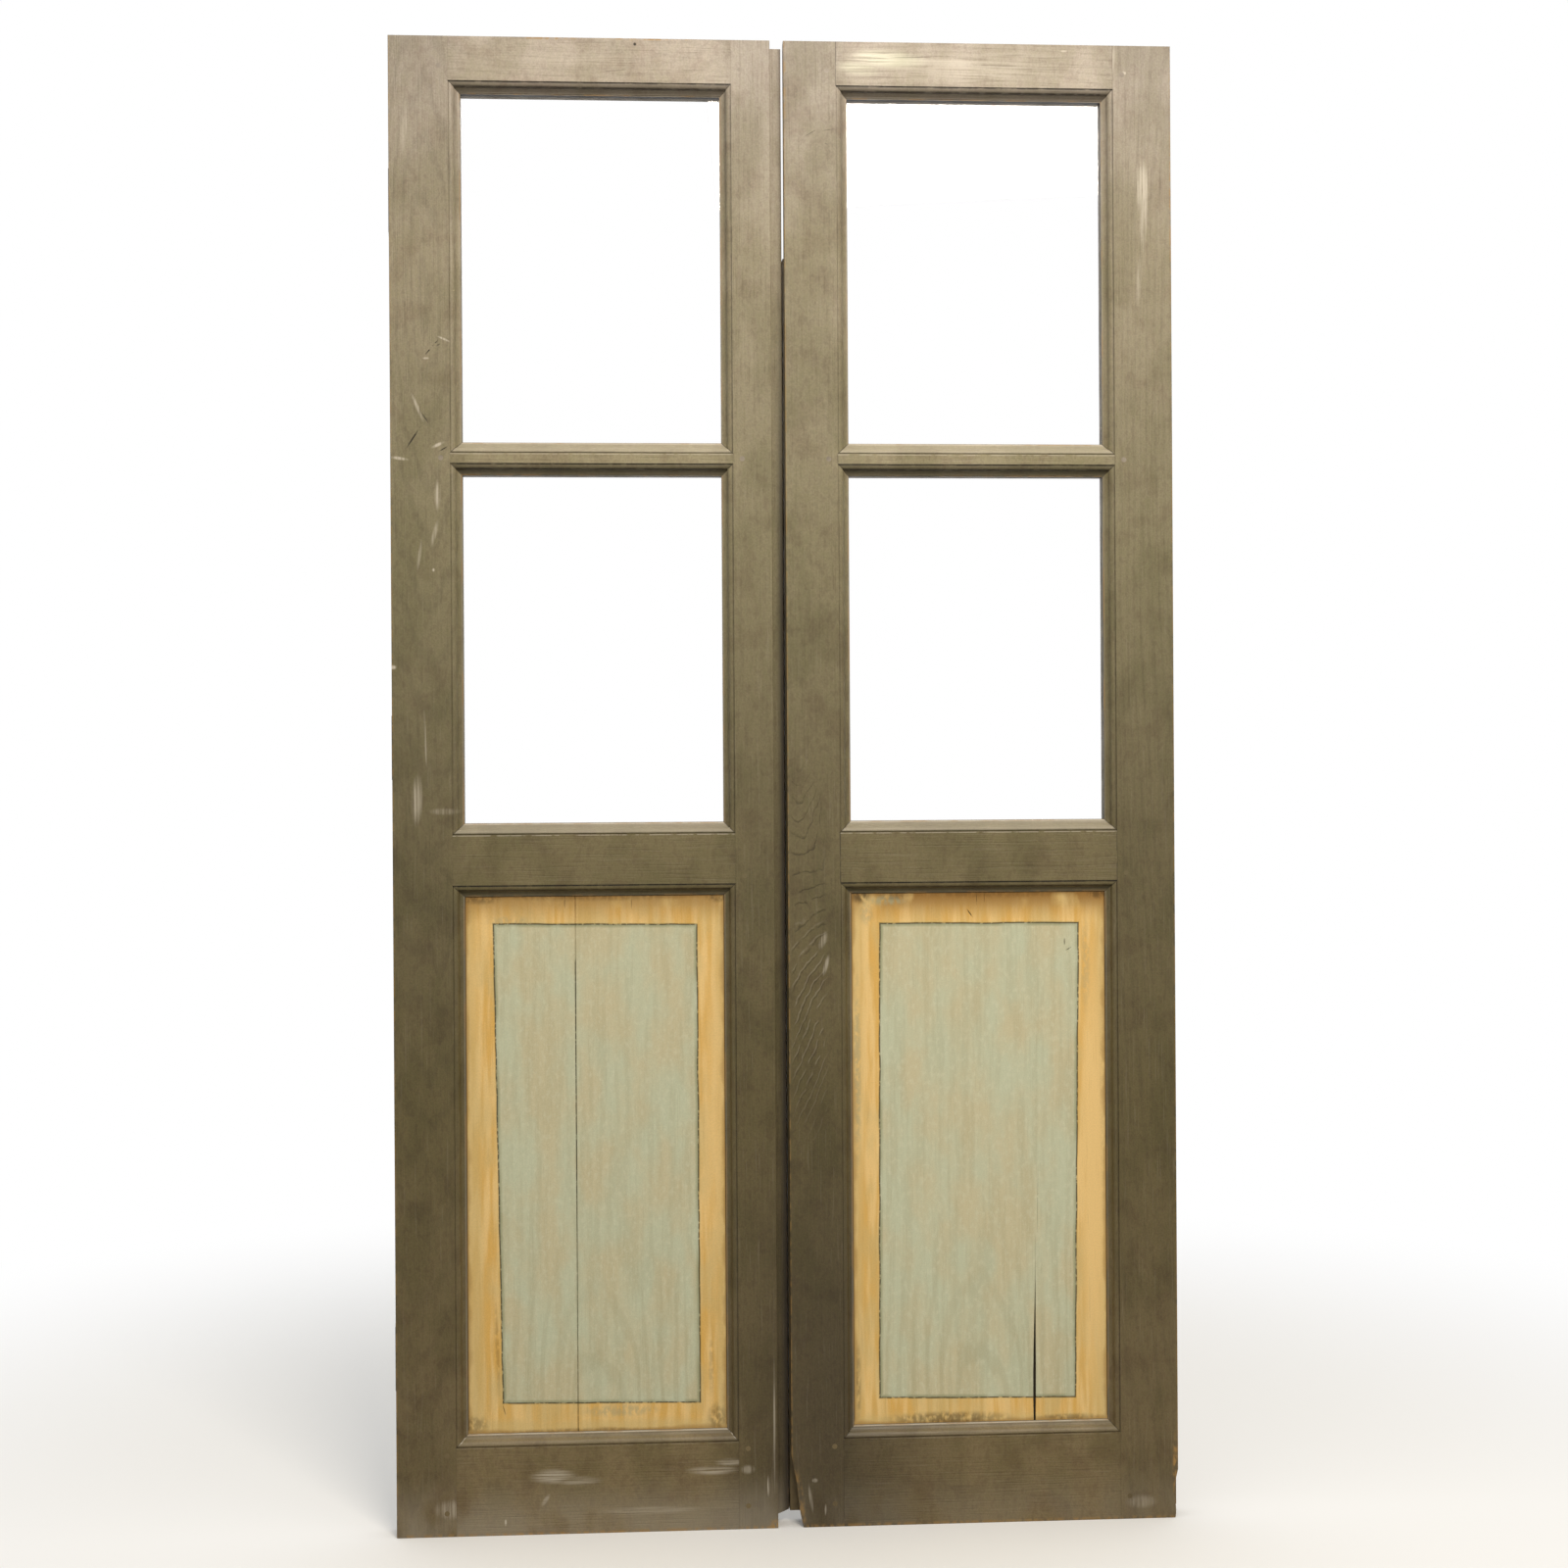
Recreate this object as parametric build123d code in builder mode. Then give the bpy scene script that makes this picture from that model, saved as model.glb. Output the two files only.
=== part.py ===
"""Pair of glazed door leaves: framed and pegged stile-and-rail joinery, two lights over one panel in each.

Frame: +Z up, the front of the closed pair faces -Y, X runs across both leaves.
The origin is under the middle of the whole, at the leaves' feet.
Both leaves hang on lift-off butt hinges at their outer edges and open to the back.
"""

from build123d import *
import os

# Leaf sizes
leaf_height = 2100.0
leaf_thickness = 40.0
sight_width = 364.0  # clear width of a light, between the moulded edges
panel_sight_height = 755.0
hinge_stile_flat = 83.0
meeting_stile_flat = 55.0
top_rail_flat = 62.0
glazing_bar_flat = 14.5
lock_rail_flat = 71.0
bottom_rail_flat = 124.0
arris_radius = 1.2

# Meeting edges: the left leaf has a lip at its back half, the right leaf a tongue at its front half
lip_width = 16.5
lip_thickness = 19.5
tongue_width = 19.5
tongue_thickness = 20.0
meeting_gap = 2.5
lip_foot = 20.0  # the lip ends this far above the leaf's foot
lip_foot_slope = 7.0
lip_head = 5.0

# Moulding stuck on the inner edges: quirk, ogee and a square fillet
moulding_width = 16.0
quirk_width = 1.3
quirk_depth = 1.8
ogee_crown_depth = 0.7
ogee_middle_width = 7.6
ogee_middle_depth = 4.6
ogee_foot_depth = 10.4
ogee_round_at = (0.62, 0.30)  # how far the round's arc bulges, as parts of its own width and depth
ogee_hollow_at = (0.36, 0.68)  # the same for the hollow's arc
fillet_width = 1.7
fillet_depth = 11.6

# Lights
rebate_depth = 20.0  # from the face to the glass
rebate_width = 12.0
glass_thickness = 3.0
glass_clearance = 2.0
bead_width = 11.0
bead_set_back = 1.0  # the beads stop short of the back face
bead_clearance = 0.1
bead_chamfer = 4.0
mitre_gap = 0.05  # each bead stops this far short of the mitre

# Panels
panel_depth = 13.0  # from the face to the panel's painted front
panel_thickness = 14.0
panel_tongue = 9.6
groove_width = 10.0
groove_depth = 12.0
panel_in_groove = 10.0
panel_bevel = 32.0
panel_margin = 14.0
glue_line_from_sight = 154.0
glue_line_gap = 0.3
glue_line_vee = 0.9
split_from_sight = 259.0
split_height = 262.0
split_half_width = 2.1
split_foot_half_width = 0.85
split_widest_at = 0.2  # part of the height at which the split is widest
split_lean = 0.25  # how far its left wall has moved over by half way up
split_tip = 0.2

# Mortise and tenon joints
tenon_depth = 13.5  # from the face to the tenon's front cheek
tenon_thickness = 13.0
blind_tenon = 42.0
blind_mortise = 44.0
tenon_inset = 1.5  # between a tenon and the rebate or groove beside it
haunch_height = 18.0
haunch_length = 15.0
wedge_length = 52.0
wedge_thick_end = 5.0
wedge_thin_end = 1.2
wedge_short = 4.0
peg_radius = 3.8  # across the corners
peg_sides = 8  # pegs are whittled, not turned
peg_from_shoulder = 13.0
peg_from_tenon_edge = 13.0

# Lift-off butt hinges, three to a leaf
hinge_height = 90.0
hinge_plate_width = 18.0
hinge_plate_thickness = 2.0
hinge_gap = 1.0  # between the two plates of a closed hinge
knuckle_radius = 5.0
knuckle_behind = 5.6  # from the leaf's back face to the pin's axis
knuckle_gap = 0.1
pin_radius = 2.5
pin_running_clearance = 0.05
pin_reach = 32.0  # how far the pin stands up into the leaf's knuckle
pin_end_room = 2.0
pin_button_radius = 4.4
pin_button_height = 3.0
hinge_above_bottom_rail = 60.0
hinge_above_lock_rail = 62.0
hinge_below_top_rail = 102.0
right_hinges_higher = 6.0
screw_hole_radius = 2.3
screw_head_radius = 3.4
screw_spacing = 54.0

# Wear: wood lost at the right leaf's foot, on the meeting edge and on the hinge edge
# The outlines are parts of the depth and of the height, from the top down
worn_corner_height = 104.0
worn_corner_depth = 14.0
worn_corner_outline = [(0, 1), (0.28, 0.80), (0.62, 0.52), (0.86, 0.22), (1.25, 0)]
worn_notch_height = 70.0
worn_notch_depth = 6.0
worn_notch_outline = [(0, 1), (0.75, 0.72), (1, 0.50), (0.68, 0.28), (0.75, 0)]

# Worked out from the sizes above
half_width = (
    2 * (hinge_stile_flat + 2 * moulding_width + sight_width + meeting_stile_flat)
    + lip_width
    + meeting_gap
    + tongue_width
) / 2
overall_depth = leaf_thickness + knuckle_behind + knuckle_radius
front = -overall_depth / 2
back = front + leaf_thickness
pin_y = back + knuckle_behind
pin_x = half_width + hinge_gap / 2
hinge_sight = hinge_stile_flat + moulding_width
meeting_sight = hinge_sight + sight_width
meeting_quirk = meeting_sight + moulding_width
leaf_front_width = meeting_quirk + meeting_stile_flat

panel_bottom = bottom_rail_flat + moulding_width
panel_top = panel_bottom + panel_sight_height
lower_light_bottom = panel_top + lock_rail_flat + 2 * moulding_width
upper_light_top = leaf_height - top_rail_flat - moulding_width
bar_height = glazing_bar_flat + 2 * moulding_width
light_height = (upper_light_top - lower_light_bottom - bar_height) / 2
lower_light_top = lower_light_bottom + light_height
upper_light_bottom = lower_light_top + bar_height
openings = [
    (panel_bottom, panel_top),
    (lower_light_bottom, lower_light_top),
    (upper_light_bottom, upper_light_top),
]
lights = {"lower": openings[1], "upper": openings[2]}

# Each rail: its lowest and highest quirk line, then its tenon's lowest and highest edge
rails = {
    "bottom_rail": (
        0.0,
        panel_bottom - moulding_width,
        haunch_height + tenon_inset,
        panel_bottom - groove_depth - tenon_inset,
    ),
    "lock_rail": (
        panel_top + moulding_width,
        lower_light_bottom - moulding_width,
        panel_top + groove_depth + tenon_inset,
        lower_light_bottom - rebate_width - tenon_inset,
    ),
    "glazing_bar": (
        lower_light_top + moulding_width,
        upper_light_bottom - moulding_width,
        lower_light_top + rebate_width + tenon_inset,
        upper_light_bottom - rebate_width - tenon_inset,
    ),
    "top_rail": (
        upper_light_top + moulding_width,
        leaf_height,
        upper_light_top + rebate_width + tenon_inset,
        leaf_height - haunch_height,
    ),
}
hinge_places = {
    "bottom": panel_bottom + hinge_above_bottom_rail,
    "middle": lower_light_bottom + hinge_above_lock_rail,
    "top": upper_light_top - hinge_below_top_rail - hinge_height,
}
sides = {"left": -1, "right": 1}
beyond = 5.0  # how far a cutting shape runs past the wood
near = 0.01  # two places this close are the same
tenon_back = tenon_depth + tenon_thickness


def across(side, distance):
    """X of a point that lies this far in from a leaf's hinge edge."""
    return side * (half_width - distance)


def face_plane(depth):
    """Plane parallel to the leaves, this far behind their face. Extruding from it comes forwards."""
    return Plane.XZ.offset(-(front + depth))


def outline(points, side, depth):
    """Closed outline on a face plane, from points given as distance from the hinge edge and height."""
    with BuildSketch(face_plane(depth)) as sketch:
        with BuildLine():
            Polyline([(across(side, u), z) for u, z in points], close=True)
        make_face()
    return sketch.sketch


def box_outline(side, low_u, high_u, low_z, high_z, depth):
    """Rectangle on a face plane."""
    corners = [(low_u, low_z), (high_u, low_z), (high_u, high_z), (low_u, high_z)]
    return outline(corners, side, depth)


def moulding_waste(plane, place):
    """Section of the wood planed away in front of the moulding: quirk, ogee, then the square fillet.

    place turns a width from the quirk line and a depth from the face into a point on the plane.
    """
    fillet_from = moulding_width - fillet_width
    crown = place(quirk_width, ogee_crown_depth)
    middle = place(ogee_middle_width, ogee_middle_depth)
    foot = place(fillet_from, ogee_foot_depth)
    round_over = place(
        quirk_width + (ogee_middle_width - quirk_width) * ogee_round_at[0],
        ogee_crown_depth + (ogee_middle_depth - ogee_crown_depth) * ogee_round_at[1],
    )
    hollow = place(
        ogee_middle_width + (fillet_from - ogee_middle_width) * ogee_hollow_at[0],
        ogee_middle_depth + (ogee_foot_depth - ogee_middle_depth) * ogee_hollow_at[1],
    )
    with BuildSketch(plane) as sketch:
        with BuildLine():
            Polyline(
                place(moulding_width + beyond, -beyond),
                place(0, -beyond),
                place(0, quirk_depth),
                place(quirk_width, quirk_depth),
                crown,
            )
            ThreePointArc(crown, round_over, middle)
            ThreePointArc(middle, hollow, foot)
            Polyline(
                foot,
                place(fillet_from, fillet_depth),
                place(moulding_width + beyond, fillet_depth),
                place(moulding_width + beyond, -beyond),
            )
        make_face()
    return sketch.sketch


def stile_moulding_waste(side, quirk, towards, low):
    """The same section for a stile, standing on a level plane."""
    return moulding_waste(
        Plane.XY.offset(low),
        lambda width, depth: (across(side, quirk + towards * width), front + depth),
    )


def rail_moulding_waste(left_end, quirk, towards):
    """The same section for a rail, on a plane square across its left end."""
    return moulding_waste(
        Plane.YZ.offset(left_end),
        lambda width, depth: (front + depth, quirk + towards * width),
    )


def opening_cuts(side):
    """Groove for the panel and rebates for the glass: pairs of an outline and how far it is cut forwards."""
    cuts = []
    for number, (low, high) in enumerate(openings):
        is_panel = number == 0
        reach = groove_depth if is_panel else rebate_width
        deepest = panel_depth + groove_width if is_panel else leaf_thickness + beyond
        shallowest = panel_depth if is_panel else rebate_depth
        rectangle = box_outline(
            side, hinge_sight - reach, meeting_sight + reach, low - reach, high + reach, deepest
        )
        cuts.append((rectangle, deepest - shallowest))
    return cuts


def stile_outline(side, quirk, outer, towards):
    """Front outline of a stile: a straight board with a mitred strip of moulding beside each opening."""
    points = [(outer, 0), (quirk, 0)]
    for low, high in openings:
        sight = quirk + towards * moulding_width
        points += [
            (quirk, low - moulding_width),
            (sight, low),
            (sight, high),
            (quirk, high + moulding_width),
        ]
    points += [(quirk, leaf_height), (outer, leaf_height)]
    return outline(points, side, leaf_thickness)


def rail_outline(side, low_quirk, high_quirk):
    """Front outline of a rail: its moulded edges are mitred back from the shoulders."""
    has_lower_edge = low_quirk > 0
    has_upper_edge = high_quirk < leaf_height
    left, right = hinge_stile_flat, meeting_quirk
    points = []
    if has_lower_edge:
        edge = low_quirk - moulding_width
        points += [
            (left, low_quirk),
            (left + moulding_width, edge),
            (right - moulding_width, edge),
            (right, low_quirk),
        ]
    else:
        points += [(left, low_quirk), (right, low_quirk)]
    if has_upper_edge:
        edge = high_quirk + moulding_width
        points += [
            (right, high_quirk),
            (right - moulding_width, edge),
            (left + moulding_width, edge),
            (left, high_quirk),
        ]
    else:
        points += [(right, high_quirk), (left, high_quirk)]
    return outline(points, side, leaf_thickness)


def peg_heights(low, high):
    """One peg in the middle of a narrow tenon, two near the edges of a wide one."""
    if high - low < 4 * peg_from_tenon_edge:
        return [(low + high) / 2]
    return [low + peg_from_tenon_edge, high - peg_from_tenon_edge]


def peg_places(side):
    """X and Z of every peg of a leaf."""
    places = []
    for _, _, low, high in rails.values():
        for z in peg_heights(low, high):
            places.append((across(side, hinge_stile_flat - peg_from_shoulder), z))
            places.append((across(side, meeting_quirk + peg_from_shoulder), z))
    return places


def peg_outlines(is_wanted, side):
    """Outlines of a leaf's pegs on its back face, those whose X and Z are wanted."""
    with BuildSketch(face_plane(leaf_thickness)) as sketch:
        with Locations(*[place for place in peg_places(side) if is_wanted(*place)]):
            RegularPolygon(radius=peg_radius, side_count=peg_sides)
    return sketch.sketch


def haunch_span(name):
    """Heights of the short haunch between the tenon and the leaf's top or foot, or None."""
    _, _, low, high = rails[name]
    if name == "top_rail":
        return (high, leaf_height)
    if name == "bottom_rail":
        return (0.0, low)
    return None


def wedge_outlines(side, low, high, depth, short):
    """The two wedges of a through tenon, above and below it, thick at the stile's outer edge."""
    outlines = []
    for edge, away in ((low, -1), (high, 1)):
        thin_end = wedge_thin_end + (wedge_thick_end - wedge_thin_end) * short / wedge_length
        points = [
            (0, edge),
            (wedge_length - short, edge),
            (wedge_length - short, edge + away * thin_end),
            (0, edge + away * wedge_thick_end),
        ]
        outlines.append(outline(points, side, depth))
    return outlines


def mortises(side, is_hinge_stile):
    """Outlines of the mortises, haunch sockets and wedge room for the four rails."""
    holes = []
    for name, (_, _, low, high) in rails.items():
        if is_hinge_stile:
            hole = box_outline(side, -beyond, hinge_sight, low, high, tenon_back)
        else:
            hole = box_outline(
                side, meeting_sight, meeting_quirk + blind_mortise, low, high, tenon_back
            )
        holes.append(hole)
        haunch = haunch_span(name)
        if haunch:
            start = hinge_stile_flat - haunch_length if is_hinge_stile else meeting_quirk
            holes.append(
                box_outline(side, start, start + haunch_length, haunch[0], haunch[1], tenon_back)
            )
        if is_hinge_stile:
            holes.extend(wedge_outlines(side, low, high, tenon_back, 0))
    return holes


def hinge_stile(side):
    """Outer stile: mortised through, pegged, and cut in for the hinges."""
    with BuildPart() as stile:
        extrude(stile_outline(side, hinge_stile_flat, 0, 1), amount=leaf_thickness)
        outer_edges = stile.edges().filter_by(Axis.Z).group_by(Axis.X)
        fillet(outer_edges[0] if side < 0 else outer_edges[-1], radius=arris_radius)
        for low, high in openings:
            extrude(
                stile_moulding_waste(side, hinge_stile_flat, 1, low - moulding_width),
                amount=high - low + 2 * moulding_width,
                mode=Mode.SUBTRACT,
            )
        for rectangle, amount in opening_cuts(side):
            extrude(rectangle, amount=amount, mode=Mode.SUBTRACT)
        for hole in mortises(side, True):
            extrude(hole, amount=tenon_thickness, mode=Mode.SUBTRACT)
        peg_holes = peg_outlines(lambda x, z: abs(x) > half_width / 2, side)
        extrude(peg_holes, amount=leaf_thickness, mode=Mode.SUBTRACT)
        for foot in hinge_feet(side):
            extrude(
                box_outline(
                    side,
                    -beyond,
                    hinge_plate_thickness,
                    foot,
                    foot + hinge_height,
                    leaf_thickness + beyond,
                ),
                amount=hinge_plate_width + beyond,
                mode=Mode.SUBTRACT,
            )
        if side > 0:
            extrude(worn_hinge_edge(side), amount=leaf_thickness + 2 * beyond, mode=Mode.SUBTRACT)
    return stile.part


def worn_edge(side, edge, inwards, height, depth, parts):
    """Wood lost from an upright edge above the leaf's foot, outside a smooth curve from the edge down."""
    curve = [(across(side, edge + inwards * depth * part), height * rise) for part, rise in parts]
    outside = across(side, edge - inwards * beyond)
    with BuildSketch(face_plane(leaf_thickness + beyond)) as sketch:
        with BuildLine():
            Spline(*curve)
            Polyline(
                curve[-1],
                (curve[-1][0], -beyond),
                (outside, -beyond),
                (outside, height),
                curve[0],
            )
        make_face()
    return sketch.sketch


def worn_hinge_edge(side):
    """A shallow notch in the right leaf's outer edge."""
    return worn_edge(side, 0, 1, worn_notch_height, worn_notch_depth, worn_notch_outline)


def worn_meeting_corner(side):
    """A long shallow slope to a rounded corner at the foot of the right leaf's meeting edge."""
    edge = leaf_front_width + tongue_width
    return worn_edge(side, edge, -1, worn_corner_height, worn_corner_depth, worn_corner_outline)


def meeting_stile(side):
    """Inner stile: blind mortises, and the lip or the tongue that laps the other leaf."""
    outer = leaf_front_width if side < 0 else leaf_front_width + tongue_width
    with BuildPart() as stile:
        extrude(stile_outline(side, meeting_quirk, outer, -1), amount=leaf_thickness)
        if side < 0:
            lip = [
                (leaf_front_width - beyond, lip_foot - lip_foot_slope),
                (leaf_front_width, lip_foot - lip_foot_slope),
                (leaf_front_width + lip_width, lip_foot),
                (leaf_front_width + lip_width, leaf_height - lip_head),
                (leaf_front_width - beyond, leaf_height - lip_head),
            ]
            extrude(outline(lip, side, leaf_thickness), amount=lip_thickness)
        else:
            extrude(
                box_outline(
                    side,
                    leaf_front_width,
                    outer + beyond,
                    -beyond,
                    leaf_height + beyond,
                    leaf_thickness + beyond,
                ),
                amount=leaf_thickness + beyond - tongue_thickness,
                mode=Mode.SUBTRACT,
            )
        shortest = leaf_height - lip_foot - lip_head - near
        edges = stile.edges().filter_by(Axis.Z).filter_by(lambda edge: edge.length > shortest)
        fillet([edge for edge in edges if is_lapping_corner(edge)], radius=arris_radius)
        for low, high in openings:
            extrude(
                stile_moulding_waste(side, meeting_quirk, -1, low - moulding_width),
                amount=high - low + 2 * moulding_width,
                mode=Mode.SUBTRACT,
            )
        for rectangle, amount in opening_cuts(side):
            extrude(rectangle, amount=amount, mode=Mode.SUBTRACT)
        for hole in mortises(side, False):
            extrude(hole, amount=tenon_thickness, mode=Mode.SUBTRACT)
        peg_holes = peg_outlines(lambda x, z: abs(x) < half_width / 2, side)
        extrude(peg_holes, amount=leaf_thickness, mode=Mode.SUBTRACT)
        if side > 0:
            extrude(worn_meeting_corner(side), amount=leaf_thickness + 2 * beyond, mode=Mode.SUBTRACT)
    return stile.part


def is_lapping_corner(edge):
    """True for the outside corners of the lip, the tongue and their wall, where the arris is eased."""
    middle = edge.center()
    wall = half_width - leaf_front_width
    step = min(abs(middle.Y - (back - lip_thickness)), abs(middle.Y - (front + tongue_thickness)))
    is_inner_corner = step < near and abs(abs(middle.X) - wall) < near
    return abs(middle.X) < wall + near and not is_inner_corner


def rail(side, name):
    """A rail with its moulded edges, through tenoned at the hinge side, blind at the meeting side."""
    low_quirk, high_quirk, low, high = rails[name]
    length = meeting_quirk - hinge_stile_flat
    left_end = min(across(side, hinge_stile_flat), across(side, meeting_quirk))
    haunch = haunch_span(name)
    with BuildPart() as bar:
        extrude(rail_outline(side, low_quirk, high_quirk), amount=leaf_thickness)
        if low_quirk > 0:
            extrude(rail_moulding_waste(left_end, low_quirk, -1), amount=length, mode=Mode.SUBTRACT)
        if high_quirk < leaf_height:
            extrude(rail_moulding_waste(left_end, high_quirk, 1), amount=length, mode=Mode.SUBTRACT)
        for rectangle, amount in opening_cuts(side):
            extrude(rectangle, amount=amount, mode=Mode.SUBTRACT)
        extrude(
            box_outline(side, 0, meeting_quirk + blind_tenon, low, high, tenon_back),
            amount=tenon_thickness,
        )
        if haunch:
            extrude(
                box_outline(
                    side,
                    hinge_stile_flat - haunch_length,
                    meeting_quirk + haunch_length,
                    haunch[0],
                    haunch[1],
                    tenon_back,
                ),
                amount=tenon_thickness,
            )
        peg_holes = peg_outlines(lambda x, z: low < z < high, side)
        extrude(peg_holes, amount=leaf_thickness, mode=Mode.SUBTRACT)
    return bar.part


def pegs(side):
    """Draw pegs through every tenon, cut off flush with both faces."""
    with BuildPart() as group:
        extrude(peg_outlines(lambda x, z: True, side), amount=leaf_thickness)
    return group.part


def wedges(side):
    """Pairs of wedges driven in beside every through tenon."""
    with BuildPart() as group:
        for _, _, low, high in rails.values():
            for shape in wedge_outlines(side, low, high, tenon_back, wedge_short):
                extrude(shape, amount=tenon_thickness)
    return group.part


def panel_blank(side):
    """Flat-fronted panel, bevelled at the back down to the tongue that floats in the grooves."""
    with BuildPart() as panel:
        low_u, high_u = hinge_sight - panel_in_groove, meeting_sight + panel_in_groove
        low_z, high_z = panel_bottom - panel_in_groove, panel_top + panel_in_groove
        tongue_back = panel_depth + panel_tongue
        extrude(box_outline(side, low_u, high_u, low_z, high_z, tongue_back), amount=panel_tongue)
        steps = ((tongue_back, panel_margin), (panel_depth + panel_thickness, panel_margin + panel_bevel))
        loft(
            Sketch()
            + [
                box_outline(side, low_u + inset, high_u - inset, low_z + inset, high_z - inset, depth)
                for depth, inset in steps
            ]
        )
    return panel.part


def glue_line_u():
    """The left panel's open glue line, measured from the hinge edge."""
    return hinge_sight + glue_line_from_sight


def panel_board(side, keeps_hinge_side):
    """One of the two boards of the left panel, with its eased arris at the open glue line."""
    line = glue_line_u()
    towards = 1 if keeps_hinge_side else -1
    edge = line - towards * glue_line_gap / 2
    far = edge + towards * sight_width * 2
    low_z, high_z = panel_bottom - 2 * groove_depth, panel_top + 2 * groove_depth
    with BuildPart() as board:
        add(panel_blank(side))
        extrude(
            box_outline(side, min(edge, far), max(edge, far), low_z, high_z, leaf_thickness),
            amount=leaf_thickness,
            mode=Mode.SUBTRACT,
        )
        with BuildSketch(Plane.XY.offset(low_z)):
            with BuildLine():
                Polyline(
                    (across(side, edge - towards * glue_line_vee), front + panel_depth),
                    (across(side, edge), front + panel_depth + glue_line_vee),
                    (across(side, edge + towards * beyond), front + panel_depth + glue_line_vee),
                    (across(side, edge + towards * beyond), front + panel_depth - beyond),
                    (across(side, edge - towards * glue_line_vee), front + panel_depth - beyond),
                    close=True,
                )
            make_face()
        extrude(amount=high_z - low_z, mode=Mode.SUBTRACT)
    return board.part


def split_panel(side):
    """The right panel in one board, with the shrinkage split that runs up from its foot."""
    middle = across(side, meeting_sight - split_from_sight)
    foot = panel_bottom - 2 * panel_in_groove
    top = panel_bottom + split_height
    widest = panel_bottom + split_height * split_widest_at
    half_way = (widest + top) / 2
    with BuildPart() as panel:
        add(panel_blank(side))
        with BuildSketch(face_plane(leaf_thickness)):
            with BuildLine():
                left_wall = Spline(
                    (middle - split_foot_half_width, foot),
                    (middle - split_half_width, widest),
                    (middle + split_lean, half_way),
                    (middle + split_half_width, top),
                )
                right_wall = Spline(
                    (middle + split_half_width + split_tip, top),
                    (middle + split_half_width, half_way),
                    (middle + split_half_width, widest),
                    (middle + split_foot_half_width, foot),
                )
                Line(left_wall @ 1, right_wall @ 0)
                Line(right_wall @ 1, left_wall @ 0)
            make_face()
        extrude(amount=leaf_thickness, mode=Mode.SUBTRACT)
    return panel.part


def glass_pane(side, low, high):
    """Pane lying in the rebate, with a little room all round."""
    room = rebate_width - glass_clearance
    with BuildPart() as pane:
        extrude(
            box_outline(
                side,
                hinge_sight - room,
                meeting_sight + room,
                low - room,
                high + room,
                rebate_depth + glass_thickness,
            ),
            amount=glass_thickness,
        )
    return pane.part


def bead(side, low, high, where):
    """One of the four mitred glazing beads behind a pane, with its inner back arris taken off."""
    reach = rebate_width - bead_clearance
    outer_u = (hinge_sight - reach, meeting_sight + reach)
    outer_z = (low - reach, high + reach)
    short = bead_width + mitre_gap
    if where in ("hinge", "meeting"):
        edge = outer_u[0] if where == "hinge" else outer_u[1]
        inwards = 1 if where == "hinge" else -1
        inner = edge + inwards * bead_width
        points = [
            (edge, outer_z[0] + mitre_gap),
            (inner, outer_z[0] + short),
            (inner, outer_z[1] - short),
            (edge, outer_z[1] - mitre_gap),
        ]
    else:
        edge = outer_z[0] if where == "foot" else outer_z[1]
        inwards = 1 if where == "foot" else -1
        inner = edge + inwards * bead_width
        points = [
            (outer_u[0] + mitre_gap, edge),
            (outer_u[0] + short, inner),
            (outer_u[1] - short, inner),
            (outer_u[1] - mitre_gap, edge),
        ]
    depth = leaf_thickness - bead_set_back
    with BuildPart() as strip:
        extrude(outline(points, side, depth), amount=depth - rebate_depth - glass_thickness)
        back_edges = strip.edges().group_by(Axis.Y)[-1]
        if where in ("hinge", "meeting"):
            inner_x = across(side, inner)
            arris = back_edges.filter_by(lambda line: abs(line.center().X - inner_x) < near)
        else:
            arris = back_edges.filter_by(lambda line: abs(line.center().Z - inner) < near)
        chamfer(arris, length=min(bead_chamfer, bead_width / 2))
    return strip.part


def hinge_feet(side):
    """Heights of the lower ends of a leaf's three hinges."""
    rise = right_hinges_higher if side > 0 else 0.0
    return [foot + rise for foot in hinge_places.values()]


def screw_seats(side, foot):
    """Planes of the two screw holes in a jamb plate, on its face towards the leaf."""
    x = side * (half_width + hinge_gap)
    y = back - hinge_plate_width / 2
    middle = foot + hinge_height / 2
    return [
        Plane(origin=(x, y, middle + offset), x_dir=(0, 0, 1), z_dir=(-side, 0, 0))
        for offset in (-screw_spacing / 2, screw_spacing / 2)
    ]


def hinge_half(side, foot, is_jamb_half):
    """One half of a lift-off hinge: its plate, drilled on the jamb, and the knuckle at its back edge."""
    inner = half_width + hinge_gap if is_jamb_half else half_width - hinge_plate_thickness
    middle = foot + hinge_height / 2
    knuckle_low = foot if is_jamb_half else middle + knuckle_gap / 2
    knuckle_length = hinge_height / 2 - knuckle_gap / 2
    bore_radius = pin_radius if is_jamb_half else pin_radius + pin_running_clearance
    plate_centre_x = side * (inner + hinge_plate_thickness / 2)
    with BuildPart() as half:
        with BuildSketch(Plane.XY.offset(foot)):
            with Locations((plate_centre_x, back - hinge_plate_width / 2)):
                Rectangle(hinge_plate_thickness, hinge_plate_width)
        extrude(amount=hinge_height)
        with BuildSketch(Plane.XY.offset(knuckle_low)):
            with Locations((plate_centre_x, (back + pin_y) / 2)):
                Rectangle(hinge_plate_thickness, pin_y - back)
            with Locations((side * pin_x, pin_y)):
                Circle(knuckle_radius)
        extrude(amount=knuckle_length)
        with BuildSketch(Plane.XY.offset(knuckle_low)):
            with Locations((side * pin_x, pin_y)):
                Circle(bore_radius)
        bore_depth = knuckle_length if is_jamb_half else pin_reach + pin_end_room
        extrude(amount=bore_depth, mode=Mode.SUBTRACT)
        if is_jamb_half:
            with Locations(*screw_seats(side, foot)):
                CounterSinkHole(
                    radius=screw_hole_radius,
                    counter_sink_radius=screw_head_radius,
                    depth=hinge_plate_thickness,
                )
    return half.part


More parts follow.
